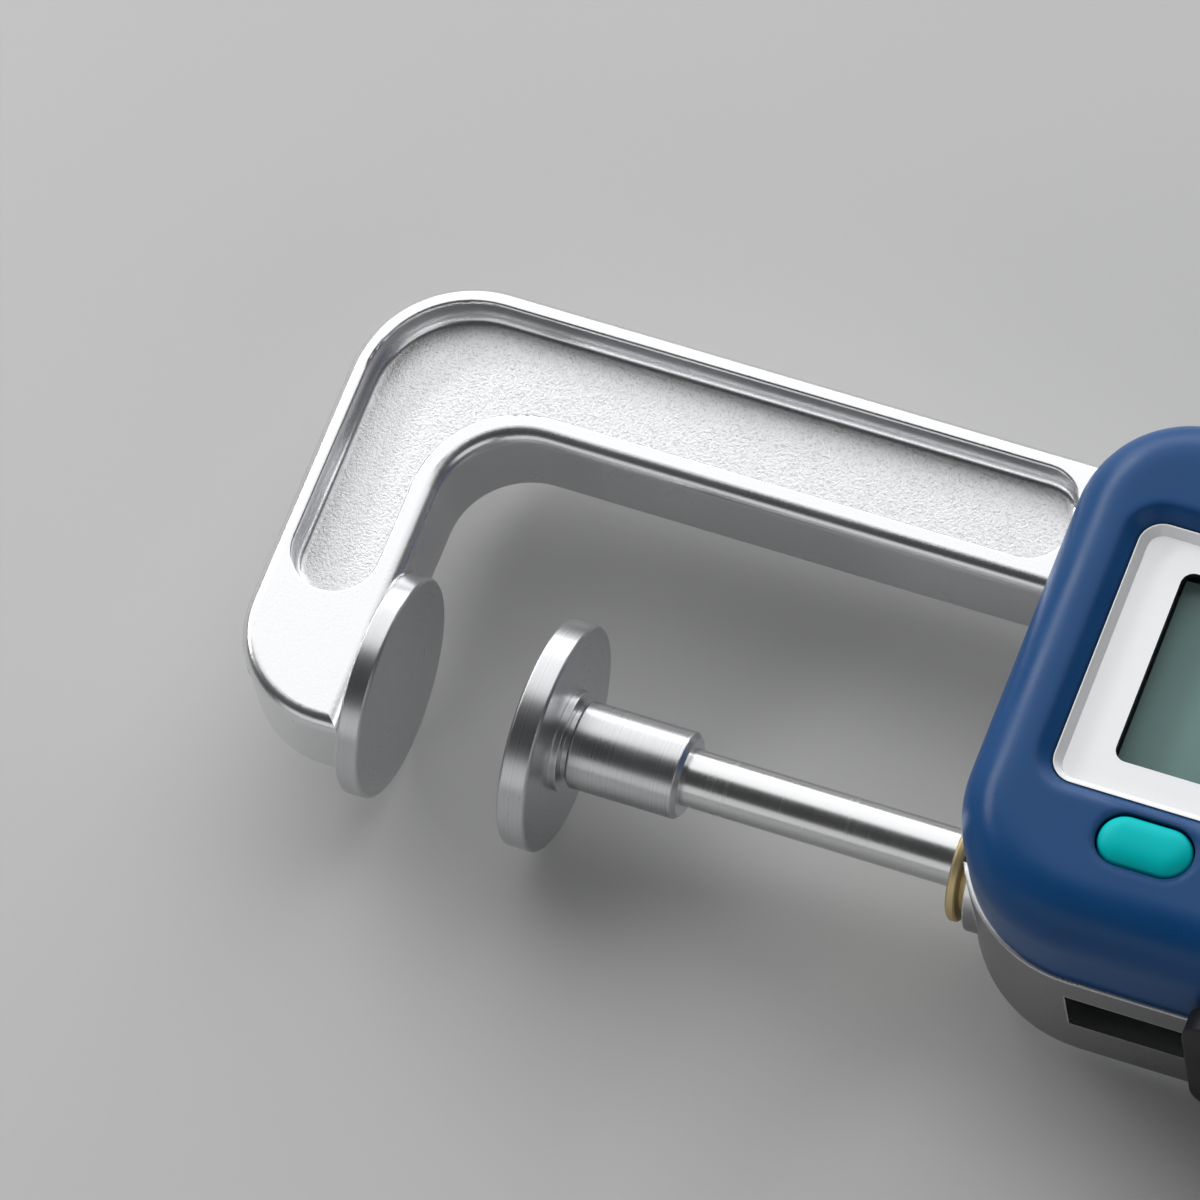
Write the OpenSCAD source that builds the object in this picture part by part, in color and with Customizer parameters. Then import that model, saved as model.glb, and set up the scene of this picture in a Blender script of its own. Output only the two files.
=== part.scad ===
// Digital thickness gauge: cast C-frame, sprung spindle with two measuring discs, display case.
// X runs along the spindle from the fixed disc to the case, Y from the spindle to the arm,
// Z out of the display. The origin is the centre of the fixed disc's measuring face.

/* [Measuring discs] */
// Diameter of the fixed disc
disc_d = 14; // [10:0.5:15]
// Diameter of the moving disc
face_d = 14.35; // [10:0.05:15]
// Thickness of the fixed disc
anvil_t = 1.5; // [1:0.1:2.5]
// Thickness of the moving disc
face_t = 1.8; // [1:0.05:2.5]
// Opening between the discs as stored
gap = 9.15; // [7:0.05:12]
// Full opening between the discs
full_gap = 25.4; // [22:0.1:26]
// Opening left when the spindle is fully closed
closed_gap = 0.05; // [0.02:0.01:0.3]
// Small edge break on turned pieces
turn_c = 0.15; // [0.05:0.05:0.3]

/* [Spindle] */
// Diameter of the spindle rod
rod_d = 3.6; // [3:0.1:4.4]
// Diameter of the hub behind the moving disc
hub_d = 5.5; // [5:0.1:6.5]
// Length of disc and hub together
hub_l = 9.8; // [8:0.05:11]
// Diameter of the collar next to the disc
collar_d = 6.4; // [5.6:0.1:7]
// Width of the collar
collar_w = 0.45; // [0.3:0.05:0.8]
// Width of the groove between collar and hub
groove_w = 0.4; // [0.2:0.05:0.8]
// Diameter at the bottom of the groove
groove_d = 4.6; // [4.2:0.1:4.9]
// Diameter of the stem of the fixed disc
stem_d = 3.8; // [3:0.1:5]
// Depth of the end of the stem behind the outer face of the leg
stem_in = 0.5; // [0.3:0.05:0.8]

/* [Frame] */
// Distance from the spindle axis to the front of the casting
cast_front = 4.35; // [4:0.05:4.8]
// Thickness of the C-frame
frame_t = 6.9; // [6.5:0.1:7.6]
// Width of the arm
arm_w = 9.15; // [8.5:0.05:9.5]
// Width of the leg
leg_w = 8.5; // [7.5:0.1:10]
// Height of the throat above the spindle axis
throat = 16.55; // [16:0.05:17.2]
// Length of the leg below the spindle axis
leg_drop = 5.45; // [4.5:0.05:6]
// Radius of the outer corner
corner_r = 7.8; // [6:0.1:8.2]
// Radius of the inner corner
inner_r = 5; // [3:0.1:7]
// Radius of the outer corner at the end of the leg
foot_r = 6.8; // [5:0.1:7.2]
// Radius where the arm meets the case
root_r = 0.9; // [0.8:0.1:2]
// Edge radius of the casting
edge_r = 0.9; // [0.5:0.1:1]
// Depth of the sunk panel on each face
panel_d = 2.2; // [1:0.1:3]
// Radius round the floor of the sunk panel
panel_f = 0.6; // [0.4:0.1:1.1]
// Radius of the rim of the sunk panel
panel_e = 0.2; // [0.1:0.05:0.25]
// Rim between the panel and the outer edge
rim_out = 1.25; // [1:0.05:1.6]
// Rim between the panel and the throat
rim_in = 1.7; // [1.3:0.05:1.9]
// Rim between the panel and the case
rim_case = 0.65; // [0.5:0.05:1.2]
// Rim between the panel and the inner edge of the leg
rim_leg = 1.75; // [1.3:0.05:1.9]
// Height of the lower end of the panel above the spindle axis
panel_low = 3.1; // [2.6:0.1:5]
// Corner radius at the case end of the panel
panel_r = 2.5; // [2.2:0.1:3]

/* [Case] */
// Distance from the fixed disc to the case wall
case_x = 36.85; // [36.6:0.05:37.2]
// Length of the case
case_l = 50.25; // [50:0.05:52]
// Height of the case above the spindle axis
case_top = 28.1; // [27.8:0.1:29]
// Depth of the case below the spindle axis
case_low = 7.25; // [7.1:0.05:7.6]
// Distance from the spindle axis to the back of the case
back_z = 7.6; // [7.3:0.1:8.4]
// Radius of the lower case corners
low_r = 9.25; // [8.6:0.05:9.6]
// Radius of the upper case corners
top_r = 7.25; // [6.5:0.05:8]
// Radius of the edge round the back
back_r = 2.4; // [1.8:0.1:2.8]
// Wall of the cast base
wall = 2; // [1.8:0.05:2.2]
// Floor of the cast base
floor_t = 2; // [1.9:0.05:2.3]
// Diameter of the boss round the spindle
boss_d = 8; // [7.6:0.1:8.4]
// Depth of the face of the boss behind the case wall
boss_in = 1.15; // [0.95:0.05:1.5]
// Radial relief of the case wall round the boss
boss_relief = 0.7; // [0.4:0.1:1]

/* [Cover] */
// Height of the front cover
cover_h = 7.5; // [7.2:0.1:8.2]
// Width of the ledge that the cast base shows round the cover
ledge = 0.25; // [0.1:0.05:0.4]
// Wall of the cover
cover_w = 1.8; // [1.5:0.05:2]
// Radius of the front edge of the cover
front_r = 3.5; // [3:0.1:4]

/* [Display] */
// Width of the display opening in the cover
bezel_w = 40.3; // [39:0.05:40.6]
// Height of the display opening in the cover
bezel_h = 17.85; // [17:0.05:18.2]
// Lower edge of the display opening above the spindle axis
bezel_y = 2.32; // [2.2:0.02:2.6]
// Corner radius of the display opening
bezel_r = 1.6; // [1.2:0.1:2.5]
// Width of the slope of the cover round the display opening
dish_w = 0.88; // [0.6:0.02:0.9]
// Depth of the slope of the cover
dish_d = 0.8; // [0.4:0.05:0.9]
// Gap between the cover and the display plate
bezel_c = 0.08; // [0.05:0.01:0.12]
// Width of the flat top of the plate's raised rim
rim_land = 0.08; // [0.05:0.01:0.15]
// Width of the slope inside the plate's rim
rim_slope = 0.45; // [0.3:0.05:0.6]
// Height of the plate's rim
rim_h = 0.6; // [0.4:0.05:0.7]
// Thickness of the display plate
plate_t = 0.55; // [0.45:0.05:0.7]
// Margin at the left and right of the window
margin_x = 3.3; // [3:0.05:4]
// Margin below the window
margin_low = 2.55; // [2.3:0.05:3]
// Margin above the window
margin_top = 2.4; // [2.2:0.05:3]
// Corner radius of the window
window_r = 0.8; // [0.4:0.1:1.2]
// Thickness of the clear window
window_t = 1; // [0.8:0.05:1.2]
// Air gap between the clear window and the display panel
window_gap = 0.05; // [0.02:0.01:0.1]
// Border by which the clear window reaches under the plate
window_lap = 1; // [0.7:0.05:1.2]
// Thickness of the display panel
lcd_t = 1.5; // [1.2:0.05:1.6]
// Border by which the display panel reaches past the clear window
lcd_lap = 0.2; // [0.1:0.05:0.4]
// Height of the rubber connector strips
zebra_h = 1.35; // [1.2:0.05:1.5]
// Width of the rubber connector strips
zebra_w = 1.6; // [1.2:0.1:2]

/* [Buttons] */
// Length of a button
button_l = 5.8; // [5:0.1:6.4]
// Width of a button
button_w = 3.2; // [2.8:0.05:3.4]
// Distance from button to button
button_pitch = 12.8; // [11:0.1:13.2]
// Distance of the button row below the display opening
button_drop = 2.74; // [2.7:0.02:3]
// Height of a button above the cover
button_proud = 0.4; // [0.2:0.05:0.7]
// Press travel of a button
button_travel = 0.7; // [0.4:0.05:0.75]
// Gap round a button
button_gap = 0.16; // [0.1:0.02:0.25]
// Width of the flange that holds a button in
flange_w = 0.45; // [0.35:0.05:0.5]

/* [Lever] */
// Width of the lever pad across the case
pad_w = 12.6; // [10:0.1:13]
// Length of the lever pad
pad_l = 12; // [10:0.1:13]
// Thickness of the lever pad
pad_t = 1.5; // [1.2:0.1:2]
// Length of the lever below its pad
blade_h = 11; // [8:0.1:13]
// Width of the stem in the slot
neck_l = 5; // [4:0.1:5.5]
// Thickness of the stem in the slot
neck_t = 3.4; // [3:0.1:3.5]
// Gap between the stem and the sides of the slot
slot_gap = 0.3; // [0.2:0.05:0.4]
// Gap between the pad and the case
pad_gap = 0.35; // [0.2:0.05:0.5]

/* [Fits] */
// Running clearance of rod and guide, on the radius
run_c = 0.02; // [0.01:0.01:0.05]
// Gap between moving pieces and fixed pieces
free_c = 0.3; // [0.2:0.05:0.35]
// Diameter of the guide rod
guide_d = 2.5; // [2:0.1:2.8]
// Wire of the return spring
wire_d = 0.4; // [0.3:0.05:0.5]
// Number of coils of the return spring
coils = 12; // [9:1:12]

/* [Hidden] */
$fn = 48;
z_rim = cast_front;
z_under = cast_front - frame_t;
close_travel = gap - closed_gap;
open_travel = full_gap - gap;

// Frame outline
leg_x0 = -anvil_t - leg_w;
leg_x1 = -anvil_t;
arm_y1 = throat + arm_w;
panel_x0 = leg_x0 + rim_out;
panel_x1 = leg_x1 - rim_leg;
panel_y0 = throat + rim_in;
panel_y1 = arm_y1 - rim_out;
panel_x2 = case_x - rim_case;
panel_ro = corner_r - rim_out;
panel_ri = inner_r + rim_in;
panel_rl = (panel_x1 - panel_x0) / 2;

// Case outline
case_x1 = case_x + case_l;
case_m = case_x + case_l / 2;
tub_x0 = case_x + wall;
tub_x1 = case_x1 - wall;
tub_y0 = wall - case_low;
tub_y1 = case_top - wall;
floor_z = floor_t - back_z;
cover_x0 = case_x + ledge;
cover_x1 = case_x1 - ledge;
cover_y0 = ledge - case_low;
cover_y1 = case_top - ledge;
front_z = z_rim + cover_h;
inner_z = front_z - cover_w;
boss_r = boss_d / 2;
boss_x = case_x + boss_in;

// Display stack, from the front to the board
bezel_x0 = case_m - bezel_w / 2;
bezel_x1 = case_m + bezel_w / 2;
bezel_y1 = bezel_y + bezel_h;
plate_x0 = bezel_x0 + bezel_c;
plate_x1 = bezel_x1 - bezel_c;
plate_y0 = bezel_y + bezel_c;
plate_y1 = bezel_y1 - bezel_c;
plate_r = bezel_r - bezel_c;
tray_in = rim_land + rim_slope;
rim_z = front_z - dish_d;
plate_z = rim_z - rim_h;
seat_z = plate_z - plate_t;
open_x0 = bezel_x0 + margin_x;
open_x1 = bezel_x1 - margin_x;
open_y0 = bezel_y + margin_low;
open_y1 = bezel_y1 - margin_top;
win_x0 = open_x0 - window_lap;
win_x1 = open_x1 + window_lap;
win_y0 = open_y0 - window_lap;
win_y1 = open_y1 + window_lap;
hood_z = seat_z - window_t;
hood_w = 0.3;
lcd_x0 = win_x0 - lcd_lap;
lcd_x1 = win_x1 + lcd_lap;
lcd_y0 = win_y0 - lcd_lap;
lcd_y1 = win_y1 + lcd_lap;
lcd_z = hood_z - lcd_t;
board_t = 1;
board_gap = 0.8;
board_z1 = lcd_z - zebra_h;
board_z = board_z1 - board_t;

// Buttons
button_y = bezel_y - button_drop;
button_x = [case_m - button_pitch, case_m, case_m + button_pitch];
button_z = front_z + button_proud;
button_f = 0.78;
flange_t = 0.9;
flange_z = inner_z - free_c / 2;
dome_h = 0.5;
plunger_z = board_z1 + dome_h + button_travel + free_c / 2;
plunger_r = 1;

// Moving group
rod_r = rod_d / 2;
guide_r = guide_d / 2;
bush_r = rod_r + 1.1;
bush_flange_r = 3.7;
bush_flange_x = case_x - 0.1;
bush_flange_w = 0.65;
bush_l = 6.6;
bush_end = boss_x + bush_l;
stop_c = 0.5;
carriage_l = 7;
carriage_x0 = bush_end + gap + stop_c;
carriage_x1 = carriage_x0 + carriage_l;
guide_y = 5.6;
sleeve_r = 2.6;
sleeve_l = 10;
sleeve_x1 = carriage_x0 + sleeve_l;
pocket_l = 5;
spring_x0 = sleeve_x1 - pocket_l;
guide_boss_r = 2.4;
guide_boss_l = 3.1;
spring_x1 = tub_x1 - guide_boss_l;
spring_r = guide_r + wire_d;
scale_t = 0.8;
scale_l = 18;
scale_z1 = board_z - free_c;
scale_z = scale_z1 - scale_t;
scale_y0 = 1.8;
scale_y1 = 7.6;
carriage_x = (carriage_x0 + carriage_x1) / 2;
carriage_y0 = tub_y0 + free_c;
carriage_y1 = 3.2;
carriage_z0 = -3.2;
tongue_y = -rod_r - 0.6;
tongue_c = 0.05;
pin_r = 0.6;
pin_y = (tongue_y + carriage_y0) / 2;
clamp_r = 1;

// Lever and slot
neck_x0 = carriage_x - neck_l / 2;
neck_x1 = carriage_x + neck_l / 2;
slot_x0 = neck_x0 - close_travel - slot_gap;
slot_x1 = neck_x1 + open_travel + slot_gap;
slot_h = neck_t + 2 * slot_gap;
pad_y1 = -case_low - pad_gap;
pad_y0 = pad_y1 - pad_t;
pad_x0 = neck_x0 - 1.1;
pad_x1 = pad_x0 + pad_l;
pad_m = (front_z - back_z) / 2;
pad_z0 = pad_m - pad_w / 2;
pad_z1 = pad_m + pad_w / 2;
pad_r = 2.4;
scoop_r = 8.5;
scoop_at = [pad_x0 - 2.6, pad_y0 - blade_h * 0.58];
spine_r = 17;
spine_at = [pad_x1 - spine_r - 0.2, pad_y0 - 1];
tip_r = 2;

// Centre of the rounded tip, which touches both the spine and the scoop
tip_v = scoop_at - spine_at;
tip_d = norm(tip_v);
tip_a = (tip_d * tip_d + (spine_r - tip_r) ^ 2 - (scoop_r + tip_r) ^ 2) / (2 * tip_d);
tip_h = sqrt((spine_r - tip_r) ^ 2 - tip_a * tip_a);
tip_at = spine_at + tip_a * tip_v / tip_d + tip_h * [-tip_v[1], tip_v[0]] / tip_d;
tip_p = spine_at + (tip_at - spine_at) * spine_r / (spine_r - tip_r);
tip_q = scoop_at + (tip_at - scoop_at) * scoop_r / (scoop_r + tip_r);
tip_y = tip_at[1] - tip_r;

// Screws: four from the back, four that hold the board
screw_r = 1;
screw_c = 0.15;
head_r = 1.9;
head_h = 1.3;
head_c = 0.2;
head_sunk = 0.3;
post_r = 2.6;
stud_r = 2.2;
screw_gap = 0.35;
screw_at = [
    [lcd_x0 - screw_gap - stud_r, 11.2],
    [case_x + 6.75, case_top - 6.1],
    [case_x1 - 6.75, case_top - 6.1],
    [case_x1 - 5.9, 5.85 - case_low]
];
screw_top = inner_z - 1.2;
small_r = 0.6;
small_head_r = 1.2;
small_head_h = 0.7;
small_boss_r = 1.4;
board_at = [
    [case_m - 10, case_top - 4.9],
    [case_m + 10, case_top - 4.9],
    [case_m - button_pitch / 2, button_y - 2.6],
    [case_m + button_pitch / 2, button_y - 2.6]
];

// Button cell in the back
cell_d = 11.6;
cell_h = 5.4;
cell_x = case_m;
cell_y = case_top - 10.8;
cell_r = cell_d / 2;
cap_r = 7.6;
cap_c = 0.2;
cap_t = 0.9;
cap_step = 1;
cap_neck_r = cell_r + 0.5;
cap_neck_c = 0.1;
lug_r = cap_neck_r + 1;
lug_h = 0.8;
lug_w = 3;
lug_turn = 60;
ring_in_r = lug_r + 0.2;
ring_out_r = ring_in_r + 1.1;
cap_z0 = 0.1 - back_z;
cap_in_z = floor_z + 0.2;
lug_z0 = floor_z + 0.1;
liner_z = lug_z0 + lug_h + 0.2;
liner_r = cell_r + 0.5;
cell_z = cap_in_z + free_c;
cell_top = cell_z + cell_h;
ring_top = cell_top - free_c;
strip_t = 0.25;
strip_w = 3;
seal_r = 0.35;

// Resin drop over the controller, between the upper left screw and the cell
drop_r = 3.6;
drop_h = 1;
drop_x = (screw_at[1][0] + stud_r + cell_x - ring_out_r) / 2;

module section(u0, u1, z0, z1, f0, f1) {
    m = (z0 + z1) / 2;
    translate([u0, z0 + f0]) square([u1 - u0, z1 - z0 - f0 - f1]);
    translate([u0 + f0, z0]) square([u1 - u0 - 2 * f0, m - z0]);
    translate([u0 + f1, m]) square([u1 - u0 - 2 * f1, z1 - m]);
    if (f0 > 0) {
        translate([u0 + f0, z0 + f0]) circle(f0);
        translate([u1 - f0, z0 + f0]) circle(f0);
    }
    if (f1 > 0) {
        translate([u0 + f1, z1 - f1]) circle(f1);
        translate([u1 - f1, z1 - f1]) circle(f1);
    }
}

module bar_x(x0, x1, y0, y1, z0, z1, f0, f1) {
    translate([x0, 0, 0]) rotate([90, 0, 90]) linear_extrude(x1 - x0)
        section(y0, y1, z0, z1, f0, f1);
}

module bar_y(y0, y1, x0, x1, z0, z1, f0, f1) {
    translate([0, y1, 0]) rotate([90, 0, 0]) linear_extrude(y1 - y0)
        section(x0, x1, z0, z1, f0, f1);
}

// Round block on a corner, with rounded rims
module puck(x, y, r, z0, z1, f0, f1) {
    m = (z0 + z1) / 2;
    translate([x, y, 0]) rotate_extrude() {
        translate([0, z0 + f0]) square([r, z1 - z0 - f0 - f1]);
        translate([0, z0]) square([r - f0, m - z0]);
        translate([0, m]) square([r - f1, z1 - m]);
        if (f0 > 0) translate([r - f0, z0 + f0]) circle(f0);
        if (f1 > 0) translate([r - f1, z1 - f1]) circle(f1);
    }
}

// One quarter of a puck
module corner(x, y, r, sx, sy, z0, z1, f0, f1) {
    intersection() {
        puck(x, y, r, z0, z1, f0, f1);
        translate([sx > 0 ? x : x - r, sy > 0 ? y : y - r, z0]) cube([r, r, z1 - z0]);
    }
}

// Solid that fills an inner corner up to a hollow radius, with rounded rims
module web(x, y, r, sx, sy, z0, z1, f0, f1) {
    f = max(f0, f1);
    b = r + f;
    difference() {
        translate([sx > 0 ? x : x - b, sy > 0 ? y : y - b, z0]) cube([b, b, z1 - z0]);
        translate([x, y, 0]) rotate_extrude() {
            translate([0, z0 - 1]) square([r, z1 - z0 + 2]);
            if (f1 > 0) difference() {
                translate([r - 0.1, z1 - f1]) square([f1 + 0.1, f1 + 1]);
                translate([r + f1, z1 - f1]) circle(f1);
            }
            if (f0 > 0) difference() {
                translate([r - 0.1, z0 - 1]) square([f0 + 0.1, f0 + 1]);
                translate([r + f0, z0 + f0]) circle(f0);
            }
        }
    }
}

// Rounded plate: lower corners rl, upper corners rt, rounded rims f0 behind and f1 in front
module slab(x0, x1, y0, y1, rl, rt, z0, z1, f0, f1) {
    ym = (y0 + y1) / 2;
    f = max(f0, f1);
    bar_x(x0 + rl, x1 - rl, y0, ym + f, z0, z1, f0, f1);
    bar_x(x0 + rt, x1 - rt, ym - f, y1, z0, z1, f0, f1);
    bar_y(y0 + rl, y1 - rt, x0, x1, z0, z1, f0, f1);
    for (x = [x0 + rl, x1 - rl]) puck(x, y0 + rl, rl, z0, z1, f0, f1);
    for (x = [x0 + rt, x1 - rt]) puck(x, y1 - rt, rt, z0, z1, f0, f1);
}

// Rounded opening whose walls slope out by t towards the front
module sloped(x0, x1, y0, y1, r, z0, z1, t) {
    h = z1 - z0;
    translate([x0 + r, 0, 0]) rotate([90, 0, 90]) linear_extrude(x1 - x0 - 2 * r)
        polygon([[y0, z0], [y1, z0], [y1 + t, z1], [y0 - t, z1]]);
    translate([0, y1 - r, 0]) rotate([90, 0, 0]) linear_extrude(y1 - y0 - 2 * r)
        polygon([[x0, z0], [x1, z0], [x1 + t, z1], [x0 - t, z1]]);
    for (x = [x0 + r, x1 - r], y = [y0 + r, y1 - r])
        translate([x, y, z0]) cylinder(h = h, r1 = r, r2 = r + t);
}

module rod_x(r, x0, x1, y = 0, z = 0) {
    translate([x0, y, z]) rotate([0, 90, 0]) cylinder(h = x1 - x0, r = r);
}

// Turned piece about the spindle axis: points are [radius, distance]
module turned(points) {
    rotate([0, 90, 0]) rotate_extrude($fn = 96) polygon(points);
}

// L-shaped panel that is sunk in the frame
module panel(z0, z1, f0, f1) {
    ex = panel_x2 - panel_r;
    lx = (panel_x0 + panel_x1) / 2;
    ly = panel_low + panel_rl;
    bar_x(panel_x0 + panel_ro, ex, panel_y0, panel_y1, z0, z1, f0, f1);
    bar_y(panel_y0 + panel_r, panel_y1 - panel_r, ex - panel_r, panel_x2, z0, z1, f0, f1);
    puck(ex, panel_y0 + panel_r, panel_r, z0, z1, f0, f1);
    puck(ex, panel_y1 - panel_r, panel_r, z0, z1, f0, f1);
    bar_y(ly, panel_y1 - panel_ro, panel_x0, panel_x1, z0, z1, f0, f1);
    puck(lx, ly, panel_rl, z0, z1, f0, f1);
    corner(panel_x0 + panel_ro, panel_y1 - panel_ro, panel_ro, -1, 1, z0, z1, f0, f1);
    web(panel_x1 + panel_ri, panel_y0 - panel_ri, panel_ri, -1, 1, z0, z1, f0, f1);
}

// Rounded rim beside a wall at distance u, to be cut away; s points out of the opening
module lip(u, s) {
    e = panel_e;
    difference() {
        translate([s > 0 ? u - 0.1 : u - e, z_rim - e]) square([e + 0.1, e + 1]);
        translate([u + s * e, z_rim - e]) circle(e);
    }
}

module lip_x(x0, x1, y, s) {
    translate([x0, 0, 0]) rotate([90, 0, 90]) linear_extrude(x1 - x0) lip(y, s);
}

module lip_y(y0, y1, x, s) {
    translate([0, y1, 0]) rotate([90, 0, 0]) linear_extrude(y1 - y0) lip(x, s);
}

module lip_ring(x, y, r, s) {
    translate([x, y, 0]) rotate_extrude() lip(r, s);
}

// Upper left quarter of a lip ring
module lip_corner(x, y, r, s) {
    b = r + panel_e;
    intersection() {
        lip_ring(x, y, r, s);
        translate([x - b, y, 0]) cube([b, b, z_rim + 2]);
    }
}

// Rounded rim all round the sunk panel
module panel_rim() {
    ex = panel_x2 - panel_r;
    ly = panel_low + panel_rl;
    cx = panel_x0 + panel_ro;
    cy = panel_y1 - panel_ro;
    wx = panel_x1 + panel_ri;
    wy = panel_y0 - panel_ri;
    lip_x(cx, ex, panel_y1, 1);
    lip_x(wx, ex, panel_y0, -1);
    lip_y(ly, cy, panel_x0, -1);
    lip_y(ly, wy, panel_x1, 1);
    lip_y(panel_y0 + panel_r, panel_y1 - panel_r, panel_x2, 1);
    lip_ring(ex, panel_y0 + panel_r, panel_r, 1);
    lip_ring(ex, panel_y1 - panel_r, panel_r, 1);
    lip_ring((panel_x0 + panel_x1) / 2, ly, panel_rl, 1);
    lip_corner(cx, cy, panel_ro, 1);
    lip_corner(wx, wy, panel_ri, -1);
}

module c_frame() {
    z0 = z_under;
    z1 = z_rim;
    e = edge_r;
    foot_x = leg_x0 + foot_r;
    foot_y = foot_r - leg_drop;
    bar_x(leg_x0 + corner_r, tub_x0, throat, arm_y1, z0, z1, e, e);
    bar_y(foot_y, arm_y1 - corner_r, leg_x0, leg_x1, z0, z1, e, e);
    corner(leg_x0 + corner_r, arm_y1 - corner_r, corner_r, -1, 1, z0, z1, e, e);
    web(leg_x1 + inner_r, throat - inner_r, inner_r, -1, 1, z0, z1, e, e);
    corner(foot_x, foot_y, foot_r, -1, -1, z0, z1, e, e);
    intersection() {
        bar_x(foot_x, leg_x1, -leg_drop, throat, z0, z1, e, e);
        bar_y(-leg_drop, foot_y, leg_x0, leg_x1, z0, z1, e, e);
    }
    web(case_x - root_r, throat - root_r, root_r, 1, 1, z0, z1, e, e);
}

module base_posts() {
    for (p = screw_at)
        translate([p[0], p[1], floor_z - 0.5]) cylinder(h = z_rim - floor_z + 0.5, r = post_r);
    translate([cell_x, cell_y, floor_z - 0.5]) cylinder(h = ring_top - floor_z + 0.5, r = ring_out_r);
    rod_x(boss_r, boss_x, bush_end);
    translate([tub_x0 - 1, -1.5, floor_z - 0.5]) cube([bush_end - tub_x0 + 1, 3, 3.5]);
    rod_x(guide_boss_r, tub_x0 - 1, tub_x0 + guide_boss_l, guide_y);
    rod_x(guide_boss_r, spring_x1, tub_x1 + 1, guide_y);
    for (x = [tub_x0 - 1, spring_x1])
        translate([x, guide_y - 1, floor_z - 0.5]) cube([guide_boss_l + 1, 2, -floor_z + 0.5]);
}

module cap_notches(r, w, z0, z1) {
    rotate([0, 0, lug_turn]) translate([-r, -w / 2, z0]) intersection() {
        cube([2 * r, w, z1 - z0]);
        translate([r, w / 2, 0]) cylinder(h = z1 - z0, r = r);
    }
}

module base_cuts() {
    rod_x(boss_r + boss_relief, boss_x - 4, boss_x);
    rod_x(bush_r, boss_x - 1, bush_end + 1);
    rod_x(guide_r, tub_x0 - 1.2, tub_x0 + guide_boss_l + 1, guide_y);
    rod_x(guide_r, spring_x1 - 1, tub_x1 + 1.2, guide_y);
    translate([slot_x0, -case_low - 1, -slot_h / 2]) cube([slot_x1 - slot_x0, wall + 2, slot_h]);
    for (p = screw_at) {
        translate([p[0], p[1], -back_z - 1]) cylinder(h = back_z + z_rim + 2, r = screw_r + screw_c);
        translate([p[0], p[1], -back_z - 1]) cylinder(h = 1 + head_sunk + head_h, r = head_r + head_c);
    }
    translate([cell_x, cell_y, 0]) {
        translate([0, 0, -back_z - 1]) cylinder(h = 1 + cap_step, r = cap_r + cap_c);
        translate([0, 0, -back_z - 1]) cylinder(h = floor_t + 2, r = cap_neck_r + cap_neck_c);
        translate([0, 0, floor_z]) cylinder(h = ring_top - floor_z + 1, r = ring_in_r);
        cap_notches(lug_r + cap_neck_c, lug_w + 2 * cap_c, -back_z + cap_step - 0.5, floor_z + 0.5);
    }
}

module frame_casting() {
    color([0.76, 0.77, 0.78]) difference() {
        union() {
            difference() {
                union() {
                    c_frame();
                    slab(case_x, case_x1, -case_low, case_top, low_r, top_r, -back_z, z_rim, back_r, 0);
                }
                panel(z_rim - panel_d, z_rim + 2, panel_f, 0);
                panel(z_under - 2, z_under + panel_d, 0, panel_f);
                panel_rim();
                translate([0, 0, z_rim + z_under]) mirror([0, 0, 1]) panel_rim();
                slab(tub_x0, tub_x1, tub_y0, tub_y1, low_r - wall, top_r - wall, floor_z, z_rim + 2, 0, 0);
            }
            base_posts();
        }
        base_cuts();
        rod_x(stem_d / 2, leg_x0 - 1, leg_x1 + 1);
    }
}

module front_bush() {
    c = turn_c;
    r1 = bush_flange_r;
    xf = bush_flange_x;
    xw = xf + bush_flange_w;
    color([0.80, 0.62, 0.30]) turned([
        [rod_r + run_c, xf], [r1 - c, xf], [r1, xf + c], [r1, xw - c], [r1 - c, xw],
        [bush_r, xw], [bush_r, bush_end], [rod_r + run_c, bush_end]
    ]);
}

module anvil() {
    c = turn_c;
    r = disc_d / 2;
    s = stem_d / 2;
    xs = leg_x0 + stem_in;
    color([0.72, 0.73, 0.74]) turned([
        [0, 0], [r - c, 0], [r, -c], [r, c - anvil_t], [r - c, -anvil_t],
        [s, -anvil_t], [s, xs + c], [s - c, xs], [0, xs]
    ]);
}

module spindle_disc() {
    c = turn_c;
    r = face_d / 2;
    x1 = gap + face_t;
    x2 = x1 + collar_w;
    x3 = x2 + groove_w;
    x4 = gap + hub_l;
    h = hub_d / 2;
    color([0.72, 0.73, 0.74]) turned([
        [0, gap], [r - c, gap], [r, gap + c], [r, x1 - c], [r - c, x1],
        [collar_d / 2, x1], [collar_d / 2, x2], [groove_d / 2, x2], [groove_d / 2, x3],
        [h - c, x3], [h, x3 + c], [h, x4 - 2 * c], [h - 2 * c, x4],
        [rod_r, x4], [rod_r, x3], [0, x3]
    ]);
}

module spindle_rod() {
    c = turn_c;
    x0 = gap + face_t + collar_w + groove_w;
    x1 = carriage_x1 - 1;
    color([0.80, 0.81, 0.82]) turned([
        [0, x0], [rod_r, x0], [rod_r, x1 - c], [rod_r - c, x1], [0, x1]
    ]);
}

module guide_rod() {
    color([0.70, 0.71, 0.72]) rod_x(guide_r, tub_x0 - 1.2, tub_x1 + 1.2, guide_y);
}

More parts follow.
